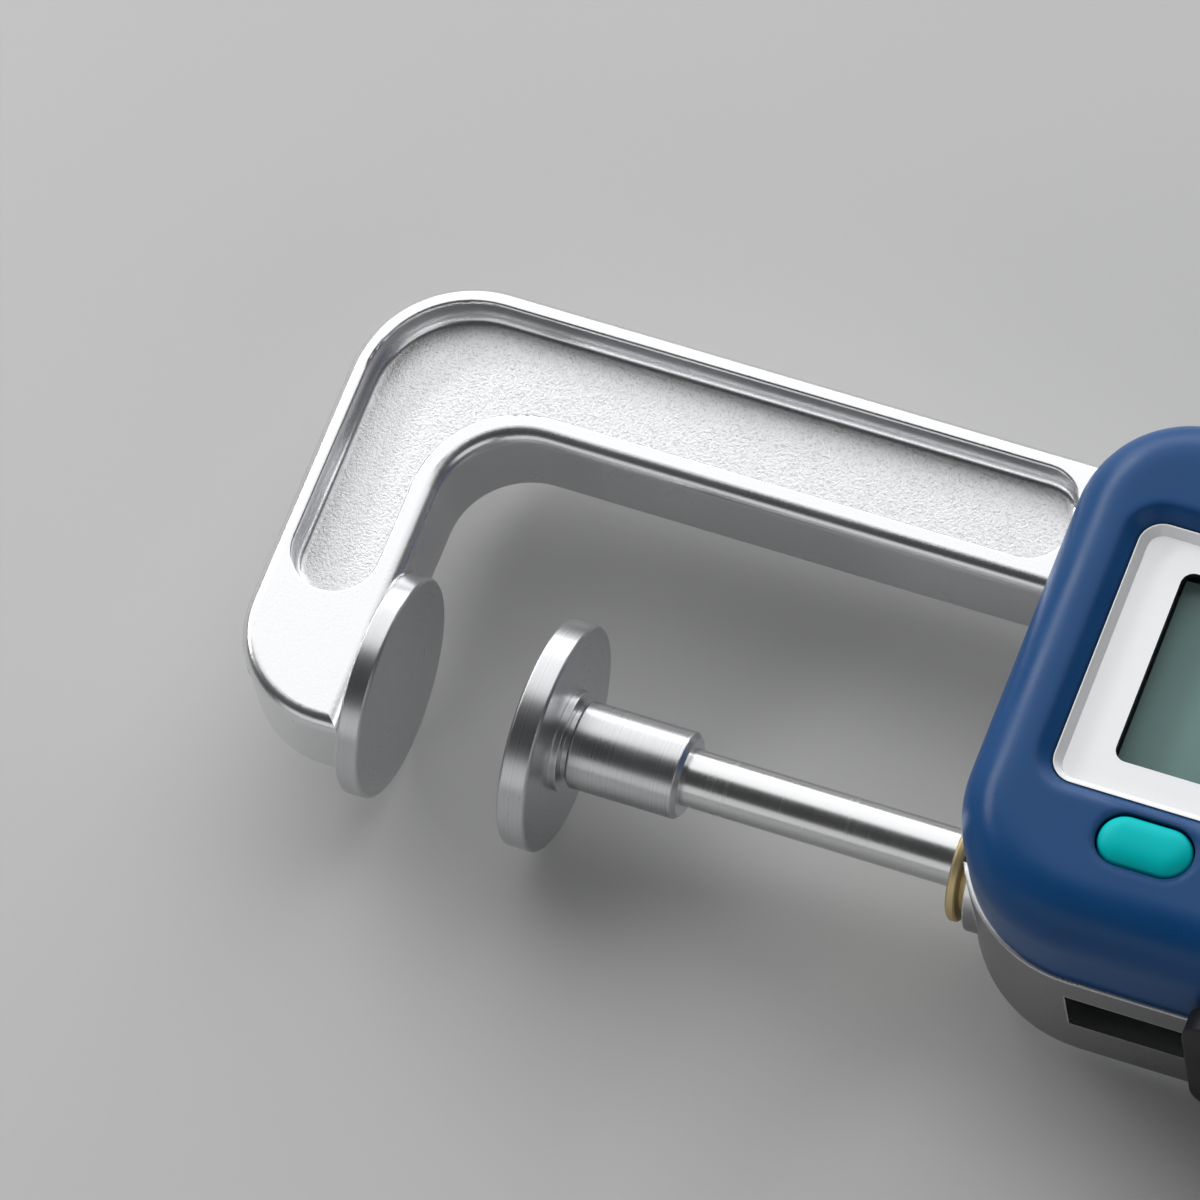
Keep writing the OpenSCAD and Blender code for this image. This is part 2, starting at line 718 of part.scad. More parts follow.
module carriage() {
    color([0.55, 0.56, 0.58]) difference() {
        union() {
            bar_x(carriage_x0, carriage_x1, carriage_y0, carriage_y1, carriage_z0, scale_z, 0.6, 0.6);
            bar_x(carriage_x0, carriage_x1, 0, scale_y1, 0.6, scale_z, 0.4, 0.4);
            rod_x(sleeve_r, carriage_x0, sleeve_x1, guide_y);
        }
        rod_x(rod_r, carriage_x0 - 1, carriage_x1 - 1);
        rod_x(guide_r + run_c, carriage_x0 - 1, sleeve_x1 + 1, guide_y);
        rod_x(spring_r + wire_d / 2 + 0.15, spring_x0, sleeve_x1 + 1, guide_y);
        translate([neck_x0 - tongue_c, carriage_y0 - 1, -neck_t / 2 - tongue_c])
            cube([neck_l + 2 * tongue_c, tongue_y - carriage_y0 + 1 + tongue_c, neck_t + 2 * tongue_c]);
        translate([carriage_x, pin_y, carriage_z0 - 1]) cylinder(h = scale_z - carriage_z0 + 2, r = pin_r);
        translate([carriage_x, 0, carriage_z0 - 1]) cylinder(h = 1 - carriage_z0, r = clamp_r);
    }
}

module carriage_clamp_screw() {
    z0 = carriage_z0 + 0.2;
    color([0.25, 0.25, 0.27]) difference() {
        translate([carriage_x, 0, z0]) cylinder(h = -z0, r = clamp_r);
        rod_x(rod_r, carriage_x0, carriage_x1);
        translate([carriage_x, 0, z0 - 1]) cylinder(h = 1.6, r = 0.5, $fn = 6);
    }
}

module scale_plate() {
    color([0.20, 0.42, 0.28]) translate([carriage_x - scale_l / 2, scale_y0, scale_z])
        cube([scale_l, scale_y1 - scale_y0, scale_t]);
}

module lever_profile() {
    cut = tip_p - tip_q;
    translate([pad_x0, pad_y0]) square([pad_l, pad_t]);
    translate(tip_at) circle(tip_r);
    difference() {
        intersection() {
            translate([pad_x0 + 2.6, tip_y - 1]) square([pad_l, pad_y0 - tip_y + 1.5]);
            translate(spine_at) circle(spine_r, $fn = 96);
        }
        translate(scoop_at) circle(scoop_r, $fn = 96);
        translate(tip_q) rotate(atan2(cut[1], cut[0])) translate([-10, -20]) square([30, 20]);
    }
}

// Lever seen along the spindle, as [height, depth]: rounded sides, narrower towards the tip
module lever_front() {
    translate([pad_y0, pad_z0]) square([pad_t, pad_w]);
    translate([tip_y + 3.5, pad_z0 + 0.8]) square([pad_y0 - tip_y - 3, pad_w - 1.6]);
    translate([tip_y, pad_z0 + 4.3]) square([pad_y0 - tip_y, pad_w - 8.6]);
    for (s = [-1, 1]) translate([tip_y + 3.5, pad_m + s * (pad_w / 2 - 4.3)]) circle(3.5);
}

module finger_lever() {
    color([0.06, 0.06, 0.07]) {
        difference() {
            union() {
                intersection() {
                    translate([0, 0, pad_z0]) linear_extrude(pad_w) lever_profile();
                    translate([pad_x0 - 1, 0, 0]) rotate([90, 0, 90]) linear_extrude(pad_l + 2)
                        lever_front();
                    pad_corners();
                }
                translate([neck_x0, pad_y0 + 0.5, -neck_t / 2])
                    cube([neck_l, tongue_y - pad_y0 - 0.5, neck_t]);
            }
            translate([carriage_x, pin_y, -neck_t]) cylinder(h = 2 * neck_t, r = pin_r);
        }
    }
}

// Plan of the pad with rounded corners, used to trim the lever
module pad_corners() {
    translate([0, pad_y1, 0]) rotate([90, 0, 0]) linear_extrude(pad_y1 - tip_y) {
        translate([pad_x0 + pad_r, pad_z0]) square([pad_l + 2, pad_w]);
        translate([pad_x0, pad_z0 + pad_r]) square([pad_l + 2, pad_w - 2 * pad_r]);
        for (z = [pad_z0 + pad_r, pad_z1 - pad_r]) translate([pad_x0 + pad_r, z]) circle(pad_r);
    }
}

module lever_pin() {
    color([0.66, 0.67, 0.68]) translate([carriage_x, pin_y, carriage_z0 + 0.1])
        cylinder(h = scale_z - carriage_z0 - 0.2, r = pin_r);
}

// Coil with flat polygon wire, from the pocket of the carriage to the far boss
module return_spring() {
    n = 14;
    m = 6;
    w = wire_d / 2;
    turns = coils * n;
    l = spring_x1 - spring_x0 - wire_d;
    pts = [for (i = [0:turns], j = [0:m - 1])
        let (a = 360 * i / n, b = 360 * j / m, r = spring_r + w * cos(b))
        [spring_x0 + w + l * i / turns + w * sin(b), guide_y + r * cos(a), r * sin(a)]];
    sides = [for (i = [0:turns - 1], j = [0:m - 1])
        let (k = (j + 1) % m)
        [i * m + j, (i + 1) * m + j, (i + 1) * m + k, i * m + k]];
    color([0.62, 0.63, 0.65]) polyhedron(
        pts,
        concat(sides, [[for (j = [0:m - 1]) j]], [[for (j = [m - 1:-1:0]) turns * m + j]])
    );
}

module stadium(l, w) {
    r = w / 2;
    translate([-l / 2 + r, -r]) square([l - w, w]);
    for (s = [-1, 1]) translate([s * (l / 2 - r), 0]) circle(r);
}

module front_cover() {
    color([0.10, 0.26, 0.48]) difference() {
        union() {
            difference() {
                slab(cover_x0, cover_x1, cover_y0, cover_y1, low_r - ledge, top_r - ledge,
                    z_rim, front_z, 0, front_r);
                slab(cover_x0 + cover_w, cover_x1 - cover_w, cover_y0 + cover_w, cover_y1 - cover_w,
                    low_r - ledge - cover_w, top_r - ledge - cover_w, z_rim - 1, inner_z,
                    0, front_r - cover_w);
            }
            slab(bezel_x0 - hood_w, bezel_x1 + hood_w, bezel_y - hood_w, bezel_y1 + hood_w,
                bezel_r + hood_w, bezel_r + hood_w, hood_z, inner_z + 0.5, 0, 0);
            for (p = screw_at)
                translate([p[0], p[1], z_rim]) cylinder(h = inner_z - z_rim + 0.5, r = stud_r);
            for (p = board_at)
                translate([p[0], p[1], board_z1]) cylinder(h = inner_z - board_z1 + 0.5, r = small_boss_r);
        }
        sloped(bezel_x0, bezel_x1, bezel_y, bezel_y1, bezel_r, rim_z, front_z + dish_d, 2 * dish_w);
        slab(bezel_x0, bezel_x1, bezel_y, bezel_y1, bezel_r, bezel_r, seat_z, front_z, 0, 0);
        slab(win_x0, win_x1, win_y0, win_y1, window_r, window_r, hood_z - 1, seat_z + 0.5, 0, 0);
        for (x = button_x) translate([x, button_y, inner_z - 1])
            linear_extrude(front_z - inner_z + 2) stadium(button_l + 2 * button_gap, button_w + 2 * button_gap);
        for (p = screw_at)
            translate([p[0], p[1], z_rim - 1]) cylinder(h = screw_top - z_rim + 1, r = screw_r);
        for (p = board_at)
            translate([p[0], p[1], board_z1 - 1]) cylinder(h = inner_z - board_z1 + 0.4, r = small_r);
    }
}

module display_bezel() {
    a = tray_in;
    color([0.85, 0.86, 0.87]) difference() {
        slab(plate_x0, plate_x1, plate_y0, plate_y1, plate_r, plate_r, seat_z, rim_z, 0, 0);
        sloped(plate_x0 + a, plate_x1 - a, plate_y0 + a, plate_y1 - a, plate_r - a, plate_z,
            rim_z + rim_h, 2 * rim_slope);
        slab(open_x0, open_x1, open_y0, open_y1, window_r, window_r, seat_z - 1, rim_z + 1, 0, 0);
    }
}

module display_window() {
    color([0.80, 0.86, 0.85, 0.4])
        slab(win_x0, win_x1, win_y0, win_y1, window_r, window_r, hood_z + window_gap, seat_z, 0, 0);
}

module lcd_panel() {
    color([0.46, 0.54, 0.50]) translate([lcd_x0, lcd_y0, lcd_z])
        cube([lcd_x1 - lcd_x0, lcd_y1 - lcd_y0, lcd_t]);
}

module zebra_strips() {
    color([0.85, 0.50, 0.55]) for (y = [lcd_y0 + 0.4, lcd_y1 - 0.4 - zebra_w])
        translate([lcd_x0 + 1.4, y, board_z1]) cube([lcd_x1 - lcd_x0 - 2.8, zebra_w, zebra_h]);
}

module circuit_board() {
    c = cover_w + board_gap;
    color([0.08, 0.36, 0.22]) difference() {
        slab(cover_x0 + c, cover_x1 - c, cover_y0 + c, cover_y1 - c,
            low_r - ledge - c, top_r - ledge - c, board_z, board_z1, 0, 0);
        for (p = screw_at)
            translate([p[0], p[1], board_z - 1]) cylinder(h = board_t + 2, r = stud_r + free_c);
        for (p = board_at)
            translate([p[0], p[1], board_z - 1]) cylinder(h = board_t + 2, r = small_r + screw_c);
    }
}

module controller_drop() {
    r = drop_r;
    h = drop_h;
    color([0.05, 0.05, 0.06]) translate([drop_x, cell_y, board_z]) rotate_extrude() intersection() {
        translate([0, -h]) square([r, h]);
        translate([0, (r * r - h * h) / (2 * h)]) circle((r * r + h * h) / (2 * h), $fn = 96);
    }
}

module button(x) {
    r = button_w / 2;
    n = button_l - button_w;
    color([0.03, 0.68, 0.66]) translate([x, button_y, 0]) {
        for (s = [-1, 1]) puck(s * n / 2, 0, r, flange_z - 0.2, button_z, 0, button_f);
        bar_x(-n / 2, n / 2, -r, r, flange_z - 0.2, button_z, 0, button_f);
        translate([0, 0, flange_z - flange_t]) linear_extrude(flange_t)
            stadium(button_l + 2 * flange_w, button_w + 2 * flange_w);
        translate([0, 0, plunger_z]) cylinder(h = flange_z - plunger_z, r = plunger_r);
    }
}

module button_left() {
    button(button_x[0]);
}

module button_middle() {
    button(button_x[1]);
}

module button_right() {
    button(button_x[2]);
}

module dome_switches() {
    r = 2;
    h = dome_h;
    color([0.78, 0.76, 0.66]) for (x = button_x) translate([x, button_y, board_z1]) rotate_extrude()
        intersection() {
            square([r, h]);
            translate([0, (h * h - r * r) / (2 * h)]) circle((r * r + h * h) / (2 * h), $fn = 96);
        }
}

// Flat head with a cross recess, shank towards +Z
module screw(r, l, hr, hh, recess) {
    difference() {
        union() {
            cylinder(h = hh, r = hr);
            cylinder(h = l, r = r);
        }
        for (a = [0, 90]) rotate([0, 0, a])
            translate([-hr * 0.6, -hr * 0.13, -1]) cube([hr * 1.2, hr * 0.26, 1 + recess]);
    }
}

module cover_screws() {
    z = head_sunk - back_z;
    color([0.60, 0.61, 0.63]) for (p = screw_at) translate([p[0], p[1], z])
        screw(screw_r, screw_top - z, head_r, head_h, 0.7);
}

module board_screws() {
    z = board_z - small_head_h;
    color([0.60, 0.61, 0.63]) for (p = board_at) translate([p[0], p[1], z])
        screw(small_r, inner_z - 0.8 - z, small_head_r, small_head_h, 0.4);
}

module battery_cell() {
    c = 0.4;
    color([0.74, 0.75, 0.76]) translate([cell_x, cell_y, cell_z]) rotate_extrude() polygon([
        [0, 0], [cell_r - c, 0], [cell_r, c], [cell_r, cell_h - 2 * c], [cell_r - 2 * c, cell_h - c],
        [cell_r - 1.6, cell_h - c], [cell_r - 1.6, cell_h], [0, cell_h]
    ]);
}

module battery_liner() {
    color([0.12, 0.12, 0.13]) translate([cell_x, cell_y, liner_z]) difference() {
        cylinder(h = ring_top - liner_z, r = ring_in_r);
        translate([0, 0, -1]) cylinder(h = ring_top - liner_z + 2, r = liner_r);
    }
}

module battery_contact_minus() {
    x1 = cell_x + ring_out_r + 1.5;
    color([0.82, 0.72, 0.42]) {
        translate([cell_x - 1.5, cell_y - strip_w / 2, cell_top])
            cube([x1 - cell_x + 1.5, strip_w, strip_t]);
        translate([x1 - strip_t, cell_y - strip_w / 2, cell_top]) cube([strip_t, strip_w, board_z - cell_top]);
    }
}

module battery_contact_plus() {
    color([0.82, 0.72, 0.42]) translate([cell_x - strip_w / 2, cell_y + cell_r, liner_z + 0.4])
        cube([strip_w, strip_t, board_z - liner_z - 0.4]);
}

module battery_cap() {
    r = cap_neck_r;
    zs = (floor_z + cap_step - back_z) / 2;
    color([0.70, 0.71, 0.72]) translate([cell_x, cell_y, 0]) difference() {
        union() {
            translate([0, 0, cap_z0]) cylinder(h = cap_t - 0.1, r = cap_r);
            translate([0, 0, cap_z0]) cylinder(h = cap_in_z - cap_z0, r = r);
            intersection() {
                translate([-lug_r, -lug_w / 2, lug_z0]) cube([2 * lug_r, lug_w, lug_h]);
                translate([0, 0, lug_z0]) difference() {
                    cylinder(h = lug_h, r = lug_r);
                    translate([0, 0, 0.2]) cylinder(h = lug_h, r = r - 0.3);
                }
            }
        }
        translate([-cap_r * 0.8, -0.9, cap_z0 - 1]) cube([cap_r * 1.6, 1.8, 1.7]);
        translate([0, 0, zs]) rotate_extrude() translate([r + cap_neck_c - seal_r, 0]) circle(seal_r);
    }
}

module battery_seal() {
    zs = (floor_z + cap_step - back_z) / 2;
    color([0.08, 0.08, 0.08]) translate([cell_x, cell_y, zs]) rotate_extrude()
        translate([cap_neck_r + cap_neck_c - run_c - seal_r, 0]) circle(seal_r - run_c);
}

frame_casting();
anvil();
front_bush();
guide_rod();
spindle_disc();
spindle_rod();
carriage();
carriage_clamp_screw();
scale_plate();
finger_lever();
lever_pin();
return_spring();
front_cover();
display_bezel();
display_window();
lcd_panel();
zebra_strips();
circuit_board();
controller_drop();
board_screws();
dome_switches();
button_left();
button_middle();
button_right();
cover_screws();
battery_cell();
battery_liner();
battery_contact_minus();
battery_contact_plus();
battery_cap();
battery_seal();
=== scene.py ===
# %% [markdown]
# # A digital thickness gauge
#
# The gauge closes two flat steel discs on a thing and shows its thickness. A cast C-frame holds one disc,
# a sprung spindle carries the other, and a blue cover holds the display and its buttons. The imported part
# already has the true shapes and sizes, so this script gives it finishes, light and a camera. It makes only
# what a solid model does less well: the soft tops of the buttons, the digits and the wire of the spring.

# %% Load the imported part
import math

import bmesh
import bpy
import numpy as np
from mathutils import Matrix, Vector


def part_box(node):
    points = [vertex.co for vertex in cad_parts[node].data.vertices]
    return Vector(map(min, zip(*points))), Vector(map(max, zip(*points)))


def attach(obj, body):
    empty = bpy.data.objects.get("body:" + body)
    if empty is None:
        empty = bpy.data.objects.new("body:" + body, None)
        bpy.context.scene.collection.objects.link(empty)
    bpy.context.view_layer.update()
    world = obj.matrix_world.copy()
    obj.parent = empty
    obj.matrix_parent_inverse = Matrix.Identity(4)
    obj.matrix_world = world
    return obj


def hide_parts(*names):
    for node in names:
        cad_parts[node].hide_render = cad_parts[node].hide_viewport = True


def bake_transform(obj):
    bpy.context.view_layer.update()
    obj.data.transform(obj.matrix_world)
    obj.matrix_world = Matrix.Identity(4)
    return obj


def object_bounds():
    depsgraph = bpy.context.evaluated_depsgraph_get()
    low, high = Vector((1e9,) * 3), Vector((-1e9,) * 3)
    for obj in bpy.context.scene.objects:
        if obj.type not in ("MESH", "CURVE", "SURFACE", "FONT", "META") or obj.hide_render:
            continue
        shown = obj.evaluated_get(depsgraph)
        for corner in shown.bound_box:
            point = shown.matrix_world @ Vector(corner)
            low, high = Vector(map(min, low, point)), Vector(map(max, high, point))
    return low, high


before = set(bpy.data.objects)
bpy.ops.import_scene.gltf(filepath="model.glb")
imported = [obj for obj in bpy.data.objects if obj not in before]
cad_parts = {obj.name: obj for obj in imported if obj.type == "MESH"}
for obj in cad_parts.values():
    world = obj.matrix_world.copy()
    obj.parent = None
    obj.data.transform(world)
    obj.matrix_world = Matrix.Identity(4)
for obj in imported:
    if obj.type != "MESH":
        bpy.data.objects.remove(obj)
cad_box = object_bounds()
MM = 0.001

# %% [markdown]
# ## The camera
#
# The photograph was taken from far away with a long lens, so parallel edges stay almost parallel. The
# camera's place and its directions were worked out from edges of known direction on the frame and the
# case. Three unit vectors make a turn matrix: Blender's camera looks along its own -Z, with +Y up.

# %% Camera of the photograph
CAMERA_AT = Vector((0.16435, -0.21557, 0.55296))
CAMERA_RIGHT = Vector((0.9271, 0.3569, -0.1145))
CAMERA_DOWN = Vector((0.2782, -0.8600, -0.4278))
LENS, SENSOR = 302.84, 36.0
NEAREST, FARTHEST = 0.01, 20.0


def photo_camera():
    """Camera whose X axis is right, Y axis is up and Z axis points back at the viewer."""
    right = CAMERA_RIGHT.normalized()
    back = right.cross(-CAMERA_DOWN).normalized()
    up = back.cross(right)
    turn = Matrix((right, up, back)).transposed()
    data = bpy.data.cameras.new("photo_camera")
    data.lens = LENS
    data.sensor_width = SENSOR
    data.clip_start = NEAREST
    data.clip_end = FARTHEST
    made = bpy.data.objects.new("photo_camera", data)
    made.matrix_world = Matrix.Translation(CAMERA_AT) @ turn.to_4x4()
    bpy.context.scene.collection.objects.link(made)
    bpy.context.scene.camera = made
    return made


camera = photo_camera()
print("camera looks along", [round(x, 3) for x in -camera.matrix_world.col[2].xyz])

# %% [markdown]
# ## Surfaces from arrays
#
# Most new pieces here are grids of points. One helper numbers the points row by row and joins each point
# to its neighbours with four-sided faces. A grid may close on itself along its rows, as a tube does. The
# other helper makes a mesh of points and faces, and puts the place into the mesh, not into the object.


# %% Grid to mesh
def grid_faces(rows, columns, closed=False):
    """Corner numbers of the faces, (i, j), (i+1, j), (i+1, j+1), (i, j+1); closed joins each row's ends."""
    across = columns if closed else columns - 1
    i, j = np.meshgrid(np.arange(rows - 1), np.arange(across), indexing="ij")
    here, next_row, next_column = i * columns, (i + 1) * columns, (j + 1) % columns
    corners = np.stack([here + j, next_row + j, next_row + next_column, here + next_column], axis=-1)
    return corners.reshape(-1, 4).tolist()


def mesh_piece(name, points, faces, smooth=True):
    """Object with its place in its mesh: points are (n, 3) metres, faces are rows of corner numbers."""
    mesh = bpy.data.meshes.new(name)
    mesh.from_pydata(np.asarray(points, float).reshape(-1, 3).tolist(), [], faces)
    mesh.polygons.foreach_set("use_smooth", np.full(len(mesh.polygons), smooth))
    mesh.validate()
    mesh.update()
    made = bpy.data.objects.new(name, mesh)
    bpy.context.scene.collection.objects.link(made)
    return made


print("a grid of 3 by 4 points has", len(grid_faces(3, 4)), "faces")

# %% [markdown]
# ## Nodes in few words
#
# A finish is a tree of nodes. Short helpers keep its code readable: one adds a node and sets or links its
# inputs, and the others do arithmetic, move a value from one range to another and mix two colours.


# %% Node helpers
def add(tree, kind, inputs=None, **settings):
    """Adds a node; an input given as a socket is linked, any other value is set on the input."""
    made = tree.nodes.new(kind)
    for name, value in settings.items():
        setattr(made, name, value)
    for name, value in (inputs or {}).items():
        if isinstance(value, bpy.types.NodeSocket):
            tree.links.new(value, made.inputs[name])
        else:
            made.inputs[name].default_value = value
    return made


def maths(tree, operation, a, b=0.0, c=0.0):
    """Result of one arithmetic step on numbers or sockets."""
    return add(tree, "ShaderNodeMath", {0: a, 1: b, 2: c}, operation=operation).outputs[0]


def product(tree, result, *others):
    """All values multiplied, as with masks that have to hold at the same time."""
    for value in others:
        result = maths(tree, "MULTIPLY", result, value)
    return result


def spread(tree, value, low, high, from_low=0.0, from_high=1.0):
    """Moves a value from one range to another, without going past the ends."""
    inputs = {"Value": value, "From Min": from_low, "From Max": from_high, "To Min": low, "To Max": high}
    return add(tree, "ShaderNodeMapRange", inputs, interpolation_type="SMOOTHSTEP").outputs["Result"]


def two_colours(tree, factor, first, second):
    """Colour that goes from first to second as the factor goes from 0 to 1."""
    made = add(tree, "ShaderNodeMix", {"Factor": factor}, data_type="RGBA")
    for name, colour in (("A", first), ("B", second)):
        socket = [s for s in made.inputs if s.name == name and s.type == "RGBA"][0]
        if isinstance(colour, bpy.types.NodeSocket):
            tree.links.new(colour, socket)
        else:
            socket.default_value = (*colour, 1.0)
    return [s for s in made.outputs if s.type == "RGBA"][0]


print("node helpers ready")

# %% [markdown]
# ## An empty finish
#
# Each finish is a Principled shader fed by patterns that are worked out from the place on the object, in
# metres, so a scratch or a grain has its real size on every piece. Noise of a chosen size makes both fine
# grain and wide clouds.


# %% Empty finish and grain
def new_finish(name, constants=None):
    """Empty finish: returns its material, tree, shader, place on the object and the place's x, y, z."""
    material = bpy.data.materials.new(name)
    material.use_nodes = True
    tree = material.node_tree
    tree.nodes.clear()
    shader = add(tree, "ShaderNodeBsdfPrincipled", constants)
    output = add(tree, "ShaderNodeOutputMaterial")
    tree.links.new(shader.outputs[0], output.inputs["Surface"])
    place = add(tree, "ShaderNodeTexCoord").outputs["Object"]
    xyz = add(tree, "ShaderNodeSeparateXYZ", {0: place})
    return material, tree, shader, place, [xyz.outputs[k] for k in range(3)]


def feed(tree, shader, patterns):
    """Links patterns to the shader's inputs of the same names."""
    for name, socket in patterns.items():
        tree.links.new(socket, shader.inputs[name])


def grain(tree, place, size_mm, detail=2.0, roughness=0.5):
    """Cloudy pattern from 0 to 1 whose spots are about size_mm across."""
    inputs = {"Vector": place, "Scale": 1000.0 / size_mm, "Detail": detail, "Roughness": roughness}
    return add(tree, "ShaderNodeTexNoise", inputs).outputs["Fac"]


print("finish helpers ready")

# %% [markdown]
# ## The floor
#
# The gauge lies on its back on a plain pale table. The table is one sheet, a hair below the gauge. It is
# see-through from behind, and for the very short rays between it and the back of the case, so that a view
# from below shows the back in plain light. Everything else sees it as a solid table with a soft shadow.

# %% Floor
FLOOR_HALF, FLOOR_POINTS = 3.0, 9
FLOOR_GAP, SHORT_RAY = 0.05, 0.8
FLOOR_TONES = ((0.60, 0.60, 0.597), (0.64, 0.64, 0.637))
floor_z = cad_box[0].z - FLOOR_GAP * MM


def see_through(tree, shader, share, tint=(1.0, 1.0, 1.0)):
    """Lets a share of the light straight through, 0 for none and 1 for all."""
    clear = add(tree, "ShaderNodeBsdfTransparent", {"Color": (*tint, 1.0)})
    mixed = add(tree, "ShaderNodeMixShader", {0: share, 1: shader.outputs[0], 2: clear.outputs[0]})
    output = [n for n in tree.nodes if n.type == "OUTPUT_MATERIAL"][0]
    tree.links.new(mixed.outputs[0], output.inputs["Surface"])


def table_finish():
    """Pale matt table; clear where a ray comes from behind or has come less than a millimetre."""
    material, tree, shader, place, _ = new_finish("pale_table", {"Roughness": 0.7})
    feed(tree, shader, {"Base Color": two_colours(tree, grain(tree, place, size_mm=60.0), *FLOOR_TONES)})
    path = add(tree, "ShaderNodeLightPath").outputs
    short = maths(tree, "LESS_THAN", path["Ray Length"], SHORT_RAY * MM)
    short = product(tree, short, maths(tree, "SUBTRACT", 1.0, path["Is Camera Ray"]))
    behind = add(tree, "ShaderNodeNewGeometry").outputs["Backfacing"]
    see_through(tree, shader, maths(tree, "MAXIMUM", behind, short))
    return material


def pale_floor():
    """Flat square sheet: x and y run from -half to +half, z is just below the gauge."""
    side = np.linspace(-FLOOR_HALF, FLOOR_HALF, FLOOR_POINTS)
    x, y = np.meshgrid(side, side, indexing="ij")
    points = np.stack([x, y, np.full_like(x, floor_z)], axis=-1)
    made = mesh_piece("floor", points, grid_faces(FLOOR_POINTS, FLOOR_POINTS))
    made.data.materials.append(table_finish())
    return made


floor = pale_floor()
print(floor.name, "at", round(floor_z / MM, 2), "mm")

# %% [markdown]
# ## The lamps
#
# A polished rod is a map of the light around it: each place across it mirrors one direction. Read that way,
# the photograph has a large soft box behind and above, a brighter one low behind, a pale card low in front
# and a dark room overhead. A bright strip at the left draws a line along the rounded edge of the cover. The
# same lamps are set up here, with a weak card at the right so that no side is lost.

# %% Lamps
TARGET = Vector((0.04, 0.005, 0.0))
# Direction, distance, width, height and brightness of each lamp
LAMPS = {
    "back_box": ((-0.20, 0.64, 0.74), 0.90, 1.50, 1.00, 1.24),
    "back_low": ((-0.20, 0.95, 0.22), 0.90, 1.50, 0.28, 3.0),
    "left_strip": ((-0.82, 0.36, 0.45), 0.70, 0.60, 0.06, 17.0),
    "right_card": ((0.72, -0.45, 0.53), 0.80, 0.60, 0.40, 0.8),
    "front_card": ((-0.15, -0.93, 0.33), 0.90, 1.20, 0.45, 0.7),
}


def soft_box(name, direction, distance, width, height, brightness):
    """Rectangular lamp that looks at the gauge; its power is pi times its area times its brightness."""
    data = bpy.data.lights.new(name, "AREA")
    data.shape = "RECTANGLE"
    data.size = width
    data.size_y = height
    data.energy = math.pi * width * height * brightness
    made = bpy.data.objects.new(name, data)
    away = Vector(direction).normalized()
    made.location = TARGET + away * distance
    made.rotation_mode = "QUATERNION"
    made.rotation_quaternion = (-away).to_track_quat("-Z", "Y")
    bpy.context.scene.collection.objects.link(made)
    return made


for lamp_name, settings in LAMPS.items():
    lamp = soft_box(lamp_name, *settings)
    print(lamp.name, round(lamp.data.energy, 2), "watts")

# %% [markdown]
# ## The room
#
# The world fills in what the lamps leave out. It is nearly dark overhead, and it grows lighter towards the
# horizon and the back. Below the table it is lighter again, for views from underneath.

# %% Room
ROOM_COLOUR = (0.97, 0.985, 1.0, 1.0)
HORIZON, OVERHEAD = 0.22, 0.05
BEHIND, BELOW = 0.14, 0.25


def room():
    """World whose strength is the sum of three steps, over the height and over the way to the back."""
    world = bpy.data.worlds.new("studio")
    bpy.context.scene.world = world
    world.use_nodes = True
    tree = world.node_tree
    tree.nodes.clear()
    direction = add(tree, "ShaderNodeTexCoord").outputs["Generated"]
    part = add(tree, "ShaderNodeSeparateXYZ", {0: direction}).outputs
    low = spread(tree, part[2], HORIZON, OVERHEAD, 0.05, 0.35)
    behind = spread(tree, part[1], 0.0, BEHIND, 0.0, 0.7)
    below = spread(tree, part[2], BELOW, 0.0, -0.30, -0.02)
    level = maths(tree, "ADD", maths(tree, "ADD", low, behind), below)
    back = add(tree, "ShaderNodeBackground", {"Color": ROOM_COLOUR, "Strength": level})
    output = add(tree, "ShaderNodeOutputWorld")
    tree.links.new(back.outputs[0], output.inputs["Surface"])
    return world


studio = room()
bpy.context.scene.view_settings.view_transform = "Standard"
print(studio.name, "is the world")

# %% [markdown]
# ## Skin and edges
#
# Real surfaces have a skin and worn edges, and some edges here also carry a painted highlight. A Bump node
# gives the skin a depth in millimetres. A Bevel node rounds the normal near an edge, and where that normal
# departs from the plain one there is an edge. The way a surface faces tells a wall from a floor.


# %% Skin and edge helpers
def facing(tree, axis):
    """How squarely the surface faces along an axis, 0 to 1, whichever way it points."""
    normal = add(tree, "ShaderNodeNewGeometry").outputs["Normal"]
    part = add(tree, "ShaderNodeSeparateXYZ", {0: normal}).outputs[axis]
    return maths(tree, "ABSOLUTE", part)


def relief(tree, shader, height, depth_mm, strength, under=None):
    """Bump of a real depth; under is an earlier normal that this one is laid on."""
    inputs = {"Height": height, "Distance": depth_mm * MM, "Strength": strength}
    if under is not None:
        inputs["Normal"] = under
    normal = add(tree, "ShaderNodeBump", inputs).outputs["Normal"]
    feed(tree, shader, {"Normal": normal})
    return normal


def soft_edges(tree, radius_mm):
    """Normal that runs smoothly over edges, and how near an edge the place is, 0 to 1."""
    smooth = add(tree, "ShaderNodeBevel", {"Radius": radius_mm * MM}, samples=6).outputs["Normal"]
    plain = add(tree, "ShaderNodeNewGeometry").outputs["Normal"]
    same = add(tree, "ShaderNodeVectorMath", {0: smooth, 1: plain}, operation="DOT_PRODUCT").outputs["Value"]
    return smooth, spread(tree, same, 1.0, 0.0, 0.90, 0.995)


print("skin and edge helpers ready")

# %% [markdown]
# ## Places on the casting
#
# The frame and the base are one casting, but not all of it looks alike. Three masks find the floor of the
# sunk panel, the walls of the base and the top edge of the base along the seam, each by its place in
# millimetres and by the way it faces.

# %% Masks of the casting
PANEL_FLOOR, PANEL_OVER = 2.15, 0.3
CASE_WALL, CASE_BEFORE, CASE_AFTER = 36.85, 0.2, 0.6
SEAM_Z, SEAM_R = 4.35, 0.36
BOSS_FROM, BOSS_TOP = 28.0, 14.5


